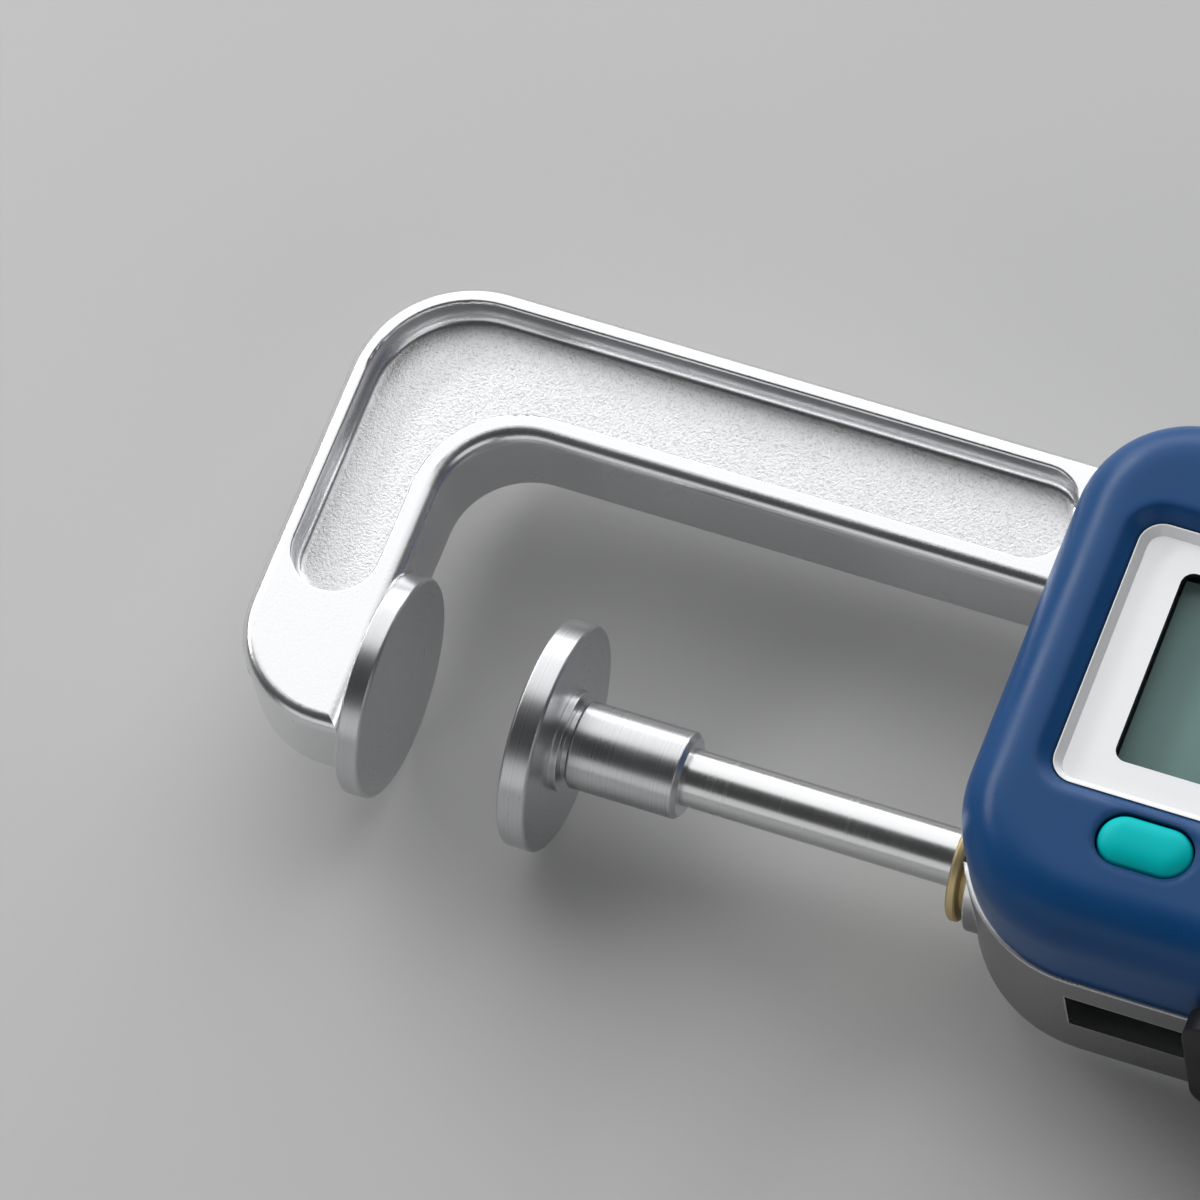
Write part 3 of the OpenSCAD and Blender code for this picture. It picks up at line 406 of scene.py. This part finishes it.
def sunk_floor(tree, x, z):
    """1 on the floor of the sunk panel, on the front and on the back, 0 elsewhere."""
    low = maths(tree, "LESS_THAN", maths(tree, "ABSOLUTE", z), (PANEL_FLOOR + PANEL_OVER) * MM)
    flat = spread(tree, facing(tree, 2), 0.0, 1.0, 0.86, 0.98)
    outside = maths(tree, "LESS_THAN", x, CASE_WALL * MM)
    return product(tree, low, flat, outside)


def base_walls(tree, x, y):
    """1 on upright walls of the base and of the spindle's boss, 0 elsewhere."""
    case = spread(tree, x, 0.0, 1.0, (CASE_WALL - CASE_BEFORE) * MM, (CASE_WALL + CASE_AFTER) * MM)
    right = maths(tree, "GREATER_THAN", x, BOSS_FROM * MM)
    boss = product(tree, right, maths(tree, "LESS_THAN", y, BOSS_TOP * MM))
    upright = spread(tree, facing(tree, 2), 1.0, 0.0, 0.35, 0.65)
    return product(tree, maths(tree, "MAXIMUM", case, boss), upright)


def rounded_seam(tree, x, z):
    """Normal that is rounded only along the top edge of the base: plain + mask times (soft - plain)."""
    base = maths(tree, "GREATER_THAN", x, CASE_WALL * MM)
    mask = product(tree, base, maths(tree, "GREATER_THAN", z, (SEAM_Z - SEAM_R) * MM))
    soft, _ = soft_edges(tree, SEAM_R)
    plain = add(tree, "ShaderNodeNewGeometry").outputs["Normal"]
    lean = add(tree, "ShaderNodeVectorMath", {0: soft, 1: plain}, operation="SUBTRACT").outputs["Vector"]
    inputs = {0: lean, 1: mask, 2: plain}
    return add(tree, "ShaderNodeVectorMath", inputs, operation="MULTIPLY_ADD").outputs["Vector"]


print("three masks ready")

# %% [markdown]
# ## Cast metal
#
# The casting is a light alloy, tumbled until its edges are satin. The floor of the sunk panel was out of
# reach of the polish and keeps the coarse grain of the mould. The walls of the base are coloured darker as
# painted shade, and their edges are coloured pale as a painted highlight.

# %% Casting
CAST_TONES = ((0.72, 0.725, 0.74), (0.80, 0.805, 0.815))
# Painted shade for the walls of the base and boss, and a painted highlight for their edges
WALL_SHADE_TONES = ((0.24, 0.24, 0.25), (0.36, 0.36, 0.37))
WALL_EDGE_HIGHLIGHT, PIT_TONE = (0.90, 0.905, 0.91), (0.36, 0.36, 0.37)
EDGE_HIGHLIGHT_RADIUS = 0.22


def satin_casting():
    """Bright satin metal; grainy on the floor of the sunk panel, darker on the walls of the base."""
    material, tree, shader, place, (x, y, z) = new_finish("satin_casting", {"Metallic": 1.0})
    pocket = sunk_floor(tree, x, z)
    walls = base_walls(tree, x, y)
    coarse = grain(tree, place, size_mm=0.16, detail=3.0, roughness=0.7)
    fine = grain(tree, place, size_mm=0.20)
    cloud = grain(tree, place, size_mm=6.0, detail=3.0)
    _, edge = soft_edges(tree, EDGE_HIGHLIGHT_RADIUS)
    tone = two_colours(tree, cloud, *CAST_TONES)
    # Painted shade: the upright walls of the base and of the boss are coloured darker
    tone = two_colours(tree, walls, tone, two_colours(tree, fine, *WALL_SHADE_TONES))
    # Painted highlight: the edges of those walls are coloured pale
    tone = two_colours(tree, product(tree, edge, walls, 0.8), tone, WALL_EDGE_HIGHLIGHT)
    pits = spread(tree, coarse, 1.0, 0.0, 0.32, 0.50)
    tone = two_colours(tree, product(tree, pits, pocket, 0.5), tone, PIT_TONE)
    tumbled = product(tree, fine, spread(tree, facing(tree, 2), 0.0, 1.0, 0.75, 0.98))
    rough = maths(tree, "MULTIPLY_ADD", walls, 0.10, spread(tree, cloud, 0.22, 0.30))
    rough = maths(tree, "MULTIPLY_ADD", pocket, 0.02, rough)
    rough = maths(tree, "MULTIPLY_ADD", tumbled, 0.05, rough)
    feed(tree, shader, {"Base Color": tone, "Roughness": rough})
    skin = relief(tree, shader, tumbled, depth_mm=0.008, strength=0.6, under=rounded_seam(tree, x, z))
    relief(tree, shader, product(tree, coarse, pocket), depth_mm=0.05, strength=0.9, under=skin)
    return material


def dress(material, *names):
    """Gives CAD nodes a finish."""
    for name in names:
        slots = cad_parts[name].data.materials
        slots.clear()
        slots.append(material)


dress(satin_casting(), "frame_casting")
print("casting dressed")

# %% [markdown]
# ## Turned metal
#
# The discs, the hub, the rod and the brass bush come off a lathe. A tool that feeds along the axis leaves
# fine rings, and one that faces the end leaves circles. Both are lines across one distance: the place along
# the axis on the outside, and the distance from the axis on the end faces. Corners are broken, and a painted
# highlight colours them paler.

# %% Lathe finish
TURNED_EDGE = 0.14


def lines(tree, distance, pitch_mm):
    """Uneven lines from 0 to 1 across a distance in metres, about pitch_mm apart."""
    along = maths(tree, "MULTIPLY", distance, 1000.0 / pitch_mm)
    inputs = {"W": along, "Scale": 1.0, "Detail": 3.0, "Roughness": 0.6}
    return add(tree, "ShaderNodeTexNoise", inputs, noise_dimensions="1D").outputs["Fac"]


def turning_marks(tree, xyz, axis, centre, pitch_mm):
    """Rings along the axis on the outside, circles about it on faces that look along it."""
    squares = []
    for k in range(3):
        if k != axis:
            off = maths(tree, "SUBTRACT", xyz[k], centre[k] * MM)
            squares.append(maths(tree, "MULTIPLY", off, off))
    radius = maths(tree, "SQRT", maths(tree, "ADD", *squares))
    circles = lines(tree, radius, pitch_mm)
    rings = lines(tree, xyz[axis], pitch_mm)
    end = spread(tree, facing(tree, axis), 0.0, 1.0, 0.6, 0.8)
    return maths(tree, "MULTIPLY_ADD", end, maths(tree, "SUBTRACT", circles, rings), rings)


def lathe_finish(name, dark, light, axis, centre, rough, pitch_mm, depth_mm):
    """Metal with fine turning marks about an axis, 0 for X or 2 for Z, through a centre in mm."""
    material, tree, shader, place, xyz = new_finish(name, {"Metallic": 1.0})
    marks = turning_marks(tree, xyz, axis, centre, pitch_mm)
    cloud = grain(tree, place, size_mm=2.5, detail=3.0)
    soft, edge = soft_edges(tree, TURNED_EDGE)
    # Painted highlight: near the broken corners the colour goes halfway to white
    edge_highlight = tuple(0.5 + 0.5 * c for c in light)
    tone = two_colours(tree, marks, dark, light)
    tone = two_colours(tree, product(tree, edge, 0.5), tone, edge_highlight)
    rubbed = maths(tree, "MULTIPLY_ADD", cloud, 0.10, rough)
    feed(tree, shader, {"Base Color": tone, "Roughness": maths(tree, "MULTIPLY_ADD", marks, 0.10, rubbed)})
    relief(tree, shader, marks, depth_mm, strength=0.8, under=soft)
    return material


print("lathe helpers ready")

# %% [markdown]
# Four metals use this finish. The discs and the hub show their marks, the rod is ground almost smooth, and
# the brass is duller. The battery cap and the cell turn about an axis of their own, along Z.

# %% Turned pieces
SPINDLE = {"axis": 0, "centre": (0.0, 0.0, 0.0)}
CELL = {"axis": 2, "centre": (61.975, 17.3, 0.0)}
STEEL = ((0.46, 0.465, 0.48), (0.70, 0.705, 0.715))
GROUND = ((0.67, 0.675, 0.68), (0.69, 0.695, 0.70))
BRASS = ((0.60, 0.46, 0.22), (0.78, 0.64, 0.37))
ALLOY = ((0.60, 0.605, 0.61), (0.72, 0.725, 0.73))
steel = lathe_finish("turned_steel", *STEEL, **SPINDLE, rough=0.20, pitch_mm=0.11, depth_mm=0.003)
ground = lathe_finish("polished_rod", *GROUND, **SPINDLE, rough=0.15, pitch_mm=0.30, depth_mm=0.0001)
brass = lathe_finish("turned_brass", *BRASS, **SPINDLE, rough=0.38, pitch_mm=0.08, depth_mm=0.004)
alloy = lathe_finish("turned_alloy", *ALLOY, **CELL, rough=0.22, pitch_mm=0.18, depth_mm=0.010)
dress(steel, "anvil", "spindle_disc")
dress(ground, "spindle_rod", "guide_rod", "lever_pin")
dress(brass, "front_bush")
dress(alloy, "battery_cap", "battery_cell")
print("turned pieces dressed")

# %% [markdown]
# ## The moulded cover
#
# The cover is a satin blue moulding. A moulded skin copies the mould's fine spark-eroded grain, and hands
# rub some patches smoother than others, first of all along the edges. The edges of a moulding are never
# quite sharp, so the shader rounds each one by a fraction of a millimetre, and the same rounding tells the
# pattern where an edge is.

# %% Mouldings
BLUE = ((0.006, 0.064, 0.205), (0.008, 0.074, 0.232))
BLACK = ((0.010, 0.010, 0.011), (0.016, 0.016, 0.017))
LAYERED = ((0.55, 0.25, 0.28), (0.66, 0.33, 0.36))


def moulding(name, dark, light, rough, grain_mm, depth_mm, edge_mm=0.12, gloss=0.3):
    """Satin plastic or rubber: fine skin, patches and edges that are rubbed paler and smoother."""
    material, tree, shader, place, _ = new_finish(name, {"Specular IOR Level": gloss})
    fine = grain(tree, place, grain_mm)
    cloud = grain(tree, place, size_mm=5.0, detail=4.0)
    soft, edge = soft_edges(tree, edge_mm)
    pale = tuple(0.85 * c + 0.03 for c in light)
    tone = two_colours(tree, cloud, dark, light)
    tone = two_colours(tree, product(tree, edge, cloud, 0.35), tone, pale)
    rubbed = spread(tree, cloud, rough - 0.04, rough + 0.04, 0.3, 0.7)
    rubbed = maths(tree, "MULTIPLY_ADD", edge, -0.05, rubbed)
    feed(tree, shader, {"Base Color": tone, "Roughness": maths(tree, "MULTIPLY_ADD", fine, 0.06, rubbed)})
    relief(tree, shader, fine, depth_mm, strength=0.5, under=soft)
    return material


blue = moulding("blue_moulding", *BLUE, rough=0.29, grain_mm=0.12, depth_mm=0.006, edge_mm=0.90, gloss=0.24)
black = moulding("black_moulding", *BLACK, rough=0.42, grain_mm=0.14, depth_mm=0.012, edge_mm=0.3)
seal = moulding("seal_rubber", *BLACK, rough=0.60, grain_mm=0.10, depth_mm=0.006)
layered = moulding("layered_rubber", *LAYERED, rough=0.6, grain_mm=0.10, depth_mm=0.01)
dress(blue, "front_cover")
dress(black, "finger_lever", "battery_liner")
dress(seal, "battery_seal")
dress(layered, "zebra_strips")
print("mouldings dressed")

# %% [markdown]
# ## The buttons
#
# A rubber button is a soft pillow on a flange. Its outline is two half circles joined by straight sides.
# One profile gives the pillow, the wall, the flange that holds it in and the plunger, and is carried round
# that outline. The pillow's profile is a superellipse, which is flatter on top than a circle.

# %% Domed buttons
TEAL = ((0.0005, 0.540, 0.555), (0.001, 0.600, 0.612))
PILL_HALF, PILL_R = 1.3, 1.66
PILLOW_H, PILLOW_POWER = 1.05, 2.4
FLANGE_Z, FLANGE_T, FLANGE_R = 9.9, 0.9, 2.05
PLUNGER_R = 1.0
PILLOW_ROWS, ROUND_POINTS = 16, 25
SAME_PLACE, SHARP_FROM = 1e-7, math.radians(40.0)


def button_profile(top, bottom):
    """Rows of half length, radius and height from the crown down: r sin t and h cos t to the power 2/n."""
    t = np.linspace(0.0, np.pi / 2, PILLOW_ROWS)
    power = 2 / PILLOW_POWER
    radius = PILL_R * np.sin(t) ** power
    height = top - PILLOW_H + PILLOW_H * np.cos(t).clip(0.0) ** power
    pillow = np.stack([np.full_like(t, PILL_HALF), radius, height], axis=-1)
    below = np.array([
        (PILL_HALF, PILL_R, FLANGE_Z), (PILL_HALF, FLANGE_R, FLANGE_Z),
        (PILL_HALF, FLANGE_R, FLANGE_Z - FLANGE_T), (0.0, PLUNGER_R, FLANGE_Z - FLANGE_T),
        (0.0, PLUNGER_R, bottom), (0.0, 0.0, bottom),
    ])
    return np.concatenate([pillow, below])


def close_poles(piece):
    """Joins points that fall on each other where the outline shrinks, and keeps the corners sharp."""
    work = bmesh.new()
    work.from_mesh(piece.data)
    bmesh.ops.remove_doubles(work, verts=work.verts, dist=SAME_PLACE)
    work.to_mesh(piece.data)
    work.free()
    piece.data.set_sharp_from_angle(angle=SHARP_FROM)


def pill_button(node):
    """Profile carried round: x = side times half length + r cos a, y = r sin a, side is +1 or -1."""
    low, high = (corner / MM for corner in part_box(node))
    half, radius, z = button_profile(high.z, low.z).T[:, :, None]
    a = np.linspace(-np.pi / 2, np.pi / 2, ROUND_POINTS)
    angle = np.concatenate([a, a + np.pi])
    side = np.repeat([1.0, -1.0], len(a))
    x = (low.x + high.x) / 2 + side * half + radius * np.cos(angle)
    y = (low.y + high.y) / 2 + radius * np.sin(angle)
    points = np.stack([x, y, z + 0 * x], axis=-1) * MM
    made = mesh_piece(node + "_cap", points, grid_faces(*x.shape, closed=True))
    close_poles(made)
    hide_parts(node)
    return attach(made, node)


teal = moulding("teal_rubber", *TEAL, rough=0.40, grain_mm=0.06, depth_mm=0.004, edge_mm=0.12, gloss=0.09)
for button in ("button_left", "button_middle", "button_right"):
    cap = pill_button(button)
    cap.data.materials.append(teal)
    print(cap.name, len(cap.data.polygons), "faces")

# %% [markdown]
# ## The display
#
# A silver plate with a fine blasted skin frames the window. Its upright walls, those of its opening among
# them, are coloured near-black. Below lie the clear window and the grey-green display panel.

# %% Display plate, window and panel
PANEL_VIEW = ((45.13, 78.82), (4.87, 17.77))
SILVER = ((0.88, 0.885, 0.90), (0.96, 0.965, 0.975))
FILM = ((0.180, 0.290, 0.276), (0.250, 0.386, 0.368))
UPRIGHT_BLACK, MARGIN = (0.012, 0.013, 0.014), (0.010, 0.011, 0.012)
CLEAR_TINT, COATED_IOR = (0.95, 0.97, 0.965), 1.15
LITTLE_GLOSS = 0.05


def blasted_plate():
    """Silver plate with a fine sparkle; walls that stand upright are black."""
    material, tree, shader, place, _ = new_finish("blasted_plate", {"Metallic": 0.45})
    speck = grain(tree, place, size_mm=0.10, detail=3.0, roughness=0.7)
    upright = spread(tree, facing(tree, 2), 1.0, 0.0, 0.15, 0.35)
    tone = two_colours(tree, upright, two_colours(tree, speck, *SILVER), UPRIGHT_BLACK)
    feed(tree, shader, {"Base Color": tone, "Roughness": spread(tree, speck, 0.38, 0.52)})
    relief(tree, shader, speck, depth_mm=0.006, strength=0.5)
    return material


def display_film():
    """Grey-green reflective film, black outside the part that the window shows."""
    constants = {"Roughness": 0.30, "Specular IOR Level": LITTLE_GLOSS}
    material, tree, shader, place, xyz = new_finish("display_film", constants)
    fine = grain(tree, place, size_mm=0.12)
    inside = []
    for value, (low, high) in zip(xyz, PANEL_VIEW):
        off = maths(tree, "SUBTRACT", value, (low + high) / 2 * MM)
        inside.append(maths(tree, "LESS_THAN", maths(tree, "ABSOLUTE", off), (high - low) / 2 * MM))
    tone = two_colours(tree, product(tree, *inside), MARGIN, two_colours(tree, fine, *FILM))
    feed(tree, shader, {"Base Color": tone})
    relief(tree, shader, fine, depth_mm=0.002, strength=0.3)
    return material


def clear_window():
    """Clear acrylic with faint smears, coated so that it mirrors little; lamp light goes straight through."""
    constants = {"IOR": COATED_IOR, "Transmission Weight": 1.0, "Base Color": (*CLEAR_TINT, 1.0)}
    material, tree, shader, place, _ = new_finish("clear_window", constants)
    smear = grain(tree, place, size_mm=4.0, detail=3.0)
    feed(tree, shader, {"Roughness": spread(tree, smear, 0.02, 0.07)})
    path = add(tree, "ShaderNodeLightPath").outputs
    lamp_ray = maths(tree, "MAXIMUM", path["Is Shadow Ray"], path["Is Diffuse Ray"])
    see_through(tree, shader, lamp_ray, CLEAR_TINT)
    return material


dress(blasted_plate(), "display_bezel")
dress(display_film(), "lcd_panel")
dress(clear_window(), "display_window")
print("display dressed")

# %% [markdown]
# ## Bars of the digits
#
# The display shows the opening between the discs as the gauge is stored. Each digit has up to seven bars,
# and each bar is a thin six-sided slab with pointed ends. A table says which bars each digit lights, and
# array arithmetic places all bars at once: across or upright, then leaned over a little, then moved along.

# %% Outlines of the bars
SHOWN, POINT_AFTER = "915", 0
DIGIT_W, DIGIT_H, DIGIT_PITCH = 4.3, 8.4, 6.6
BAR_T, BAR_GAP, LEAN = 1.05, 0.12, 0.09
LAST_DIGIT_X, DIGIT_LOW = 71.5, 7.1
POINT_HALF = 0.62
# Place across and up as shares of the digit, and 1 for an upright bar
BARS = {
    "top": (0.5, 1.0, 0), "middle": (0.5, 0.5, 0), "bottom": (0.5, 0.0, 0),
    "upper_left": (0.0, 0.75, 1), "upper_right": (1.0, 0.75, 1),
    "lower_left": (0.0, 0.25, 1), "lower_right": (1.0, 0.25, 1),
}
UNLIT = {
    "9": ["lower_left"],
    "1": ["top", "middle", "bottom", "upper_left", "lower_left"],
    "5": ["upper_right", "lower_left"],
}


def lit_bars(shown, point_after):
    """Rows of digit number, place across and up, upright or not, half length; the point is a short bar."""
    rows = []
    for k, digit in enumerate(shown):
        for across, up, upright in (BARS[b] for b in BARS if b not in UNLIT[digit]):
            half = (DIGIT_H / 4 if upright else DIGIT_W / 2) - BAR_GAP
            rows.append((k, across * DIGIT_W, up * DIGIT_H, upright, half))
    middle = (DIGIT_W + DIGIT_PITCH) / 2
    rows.append((point_after, middle, 0.0, 0, POINT_HALF))
    return np.array(rows)


def bar_outlines(bars):
    """Six corners of each bar: along it -h, -h+t, h-t, h, h-t, -h+t and across it 0, -t, -t, 0, t, t."""
    k, across, up, upright, half = bars.T[:, :, None]
    t = BAR_T / 2
    along = half * np.array([-1, -1, 1, 1, 1, -1]) + t * np.array([0, 1, -1, 0, -1, 1])
    aside = t * np.array([0, -1, -1, 0, 1, 1]) + 0 * half
    x = across + np.where(upright > 0, -aside, along)
    y = up + np.where(upright > 0, along, aside)
    left = LAST_DIGIT_X + (k - k.max()) * DIGIT_PITCH
    return left + x + LEAN * y, DIGIT_LOW + y


print("bars to light:", len(lit_bars(SHOWN, POINT_AFTER)))

# %% [markdown]
# ## The digits
#
# The outlines become slabs: each has a lower and an upper face and six sides. They lie in the thin gap
# between the display panel and the clear window, and their ink is dark with a slight cloud.

# %% Digits of the display
INK = ((0.012, 0.017, 0.019), (0.020, 0.027, 0.029))
INK_LOW, INK_HIGH = 0.005, 0.03


def slab_faces(count, corners):
    """Faces of slabs whose lower corners are numbered first, slab by slab, and then the upper ones."""
    low = np.arange(count * corners).reshape(count, corners)
    high = low + count * corners
    sides = np.stack([low, np.roll(low, -1, 1), np.roll(high, -1, 1), high], axis=-1)
    return low[:, ::-1].tolist() + high.tolist() + sides.reshape(-1, 4).tolist()


def display_ink():
    """Dark liquid-crystal bar with a slight blue-green cloud."""
    material, tree, shader, place, _ = new_finish("display_ink", {"Specular IOR Level": LITTLE_GLOSS})
    cloud = grain(tree, place, size_mm=1.5, detail=3.0)
    tone = two_colours(tree, cloud, *INK)
    feed(tree, shader, {"Base Color": tone, "Roughness": spread(tree, cloud, 0.30, 0.42)})
    relief(tree, shader, grain(tree, place, size_mm=0.12), depth_mm=0.001, strength=0.3)
    return material


def display_digits(shown, point_after):
    """The lit bars as slabs: each outline at a lower and at an upper height above the display panel."""
    x, y = bar_outlines(lit_bars(shown, point_after))
    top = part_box("lcd_panel")[1].z
    heights = (top + INK_LOW * MM, top + INK_HIGH * MM)
    layers = [np.stack([x * MM, y * MM, np.full_like(x, z)], axis=-1) for z in heights]
    made = mesh_piece("display_digits", layers, slab_faces(*x.shape), smooth=False)
    made.data.materials.append(display_ink())
    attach(made, "case")
    return made


digits = display_digits(SHOWN, POINT_AFTER)
print("digits:", len(digits.data.polygons), "faces")

# %% [markdown]
# ## The parts inside
#
# Nothing inside the case shows while it is closed, but the model can be taken apart, so each piece has a
# finish of its own: bright plated screws, stamped contacts, a green board and a drop of black resin.

# %% Inside finishes
SCREW = ((0.50, 0.505, 0.52), (0.64, 0.645, 0.655))
MACHINED = ((0.44, 0.445, 0.46), (0.54, 0.545, 0.56))
BLACKENED = ((0.05, 0.05, 0.055), (0.09, 0.09, 0.095))
BRONZE = ((0.66, 0.50, 0.24), (0.80, 0.64, 0.36))
MASK = ((0.010, 0.085, 0.036), (0.030, 0.170, 0.070))
STAMPED_EDGE = 0.08


def plated(name, dark, light, rough):
    """Stamped or plated metal with a faint brushed cloud."""
    material, tree, shader, place, _ = new_finish(name, {"Metallic": 1.0})
    cloud = grain(tree, place, size_mm=0.8, detail=4.0, roughness=0.6)
    fine = grain(tree, place, size_mm=0.08)
    tone = two_colours(tree, cloud, dark, light)
    feed(tree, shader, {"Base Color": tone, "Roughness": spread(tree, cloud, rough, rough + 0.14)})
    soft = add(tree, "ShaderNodeBevel", {"Radius": STAMPED_EDGE * MM}, samples=4).outputs["Normal"]
    relief(tree, shader, fine, depth_mm=0.003, strength=0.5, under=soft)
    return material


def board_mask():
    """Green solder mask over copper tracks: the tracks are the crests of a slow, bent wave pattern."""
    material, tree, shader, place, _ = new_finish("board_mask", {"Roughness": 0.32})
    inputs = {"Vector": place, "Scale": 160.0, "Distortion": 3.0, "Detail": 1.0}
    wave = add(tree, "ShaderNodeTexWave", inputs, bands_direction="DIAGONAL").outputs["Fac"]
    track = spread(tree, wave, 0.0, 1.0, 0.62, 0.70)
    feed(tree, shader, {"Base Color": two_colours(tree, track, *MASK)})
    relief(tree, shader, track, depth_mm=0.03, strength=0.5)
    return material


bronze = plated("stamped_bronze", *BRONZE, rough=0.22)
resin = moulding("cured_resin", *BLACK, rough=0.22, grain_mm=0.20, depth_mm=0.004)
dress(plated("plated_screw", *SCREW, rough=0.24), "cover_screws", "board_screws")
dress(plated("machined_alloy", *MACHINED, rough=0.30), "carriage")
dress(plated("blackened_steel", *BLACKENED, rough=0.34), "carriage_clamp_screw")
dress(bronze, "battery_contact_minus", "battery_contact_plus", "dome_switches")
dress(board_mask(), "circuit_board", "scale_plate")
dress(resin, "controller_drop")
print("inside pieces dressed")

# %% [markdown]
# ## The return spring
#
# A spring winder bends round wire into a helix and closes the first and last turns, so that the ends sit
# square. Here a circle of points is carried along the helix. The turns are close together at both ends and
# open between them.

# %% Coil of round wire
TURNS, CLOSED_TURNS = 12.0, 1.25
WIRE_R, CLOSED_PITCH = 0.2, 0.46
STEPS_PER_TURN, WIRE_SIDES = 30, 12
WIRE = ((0.50, 0.505, 0.52), (0.62, 0.625, 0.64))


def helix(low, high, centre_y, radius):
    """Path in mm: x rises slowly on the closed turns, y and z go round a circle about the guide rod."""
    turn = np.linspace(0.0, TURNS, int(TURNS * STEPS_PER_TURN) + 1)
    closed = CLOSED_TURNS * CLOSED_PITCH
    knots = [0.0, CLOSED_TURNS, TURNS - CLOSED_TURNS, TURNS]
    x = np.interp(turn, knots, [low, low + closed, high - closed, high])
    angle = 2 * np.pi * turn
    return np.stack([x, centre_y + radius * np.cos(angle), radius * np.sin(angle)], axis=-1)


def wire_along(path, radius, sides):
    """Rings of points: path + radius times (n cos b + m sin b), where n and m are square to the path."""
    along = np.gradient(path, axis=0)
    along /= np.linalg.norm(along, axis=1, keepdims=True)
    n = np.cross(along, [1.0, 0.0, 0.0])
    n /= np.linalg.norm(n, axis=1, keepdims=True)
    m = np.cross(along, n)
    b = np.linspace(0.0, 2 * np.pi, sides, endpoint=False)[None, :, None]
    return path[:, None] + radius * (n[:, None] * np.cos(b) + m[:, None] * np.sin(b))


def coil_spring():
    """Wire along the helix, its two ends closed by a flat face each."""
    low, high = (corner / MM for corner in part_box("return_spring"))
    y = (low.y + high.y) / 2
    radius = (high.y - low.y) / 2 - WIRE_R
    path = helix(low.x + WIRE_R, high.x - WIRE_R, y, radius)
    rings = wire_along(path, WIRE_R, WIRE_SIDES)
    count = len(path)
    first = list(range(WIRE_SIDES))[::-1]
    last = [(count - 1) * WIRE_SIDES + k for k in range(WIRE_SIDES)]
    faces = grid_faces(count, WIRE_SIDES, closed=True) + [first, last]
    made = mesh_piece("spring_coil", rings * MM, faces)
    made.data.materials.append(plated("spring_wire", *WIRE, rough=0.20))
    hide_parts("return_spring")
    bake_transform(made)
    return made


coil = coil_spring()
print("spring:", len(coil.data.polygons), "faces")
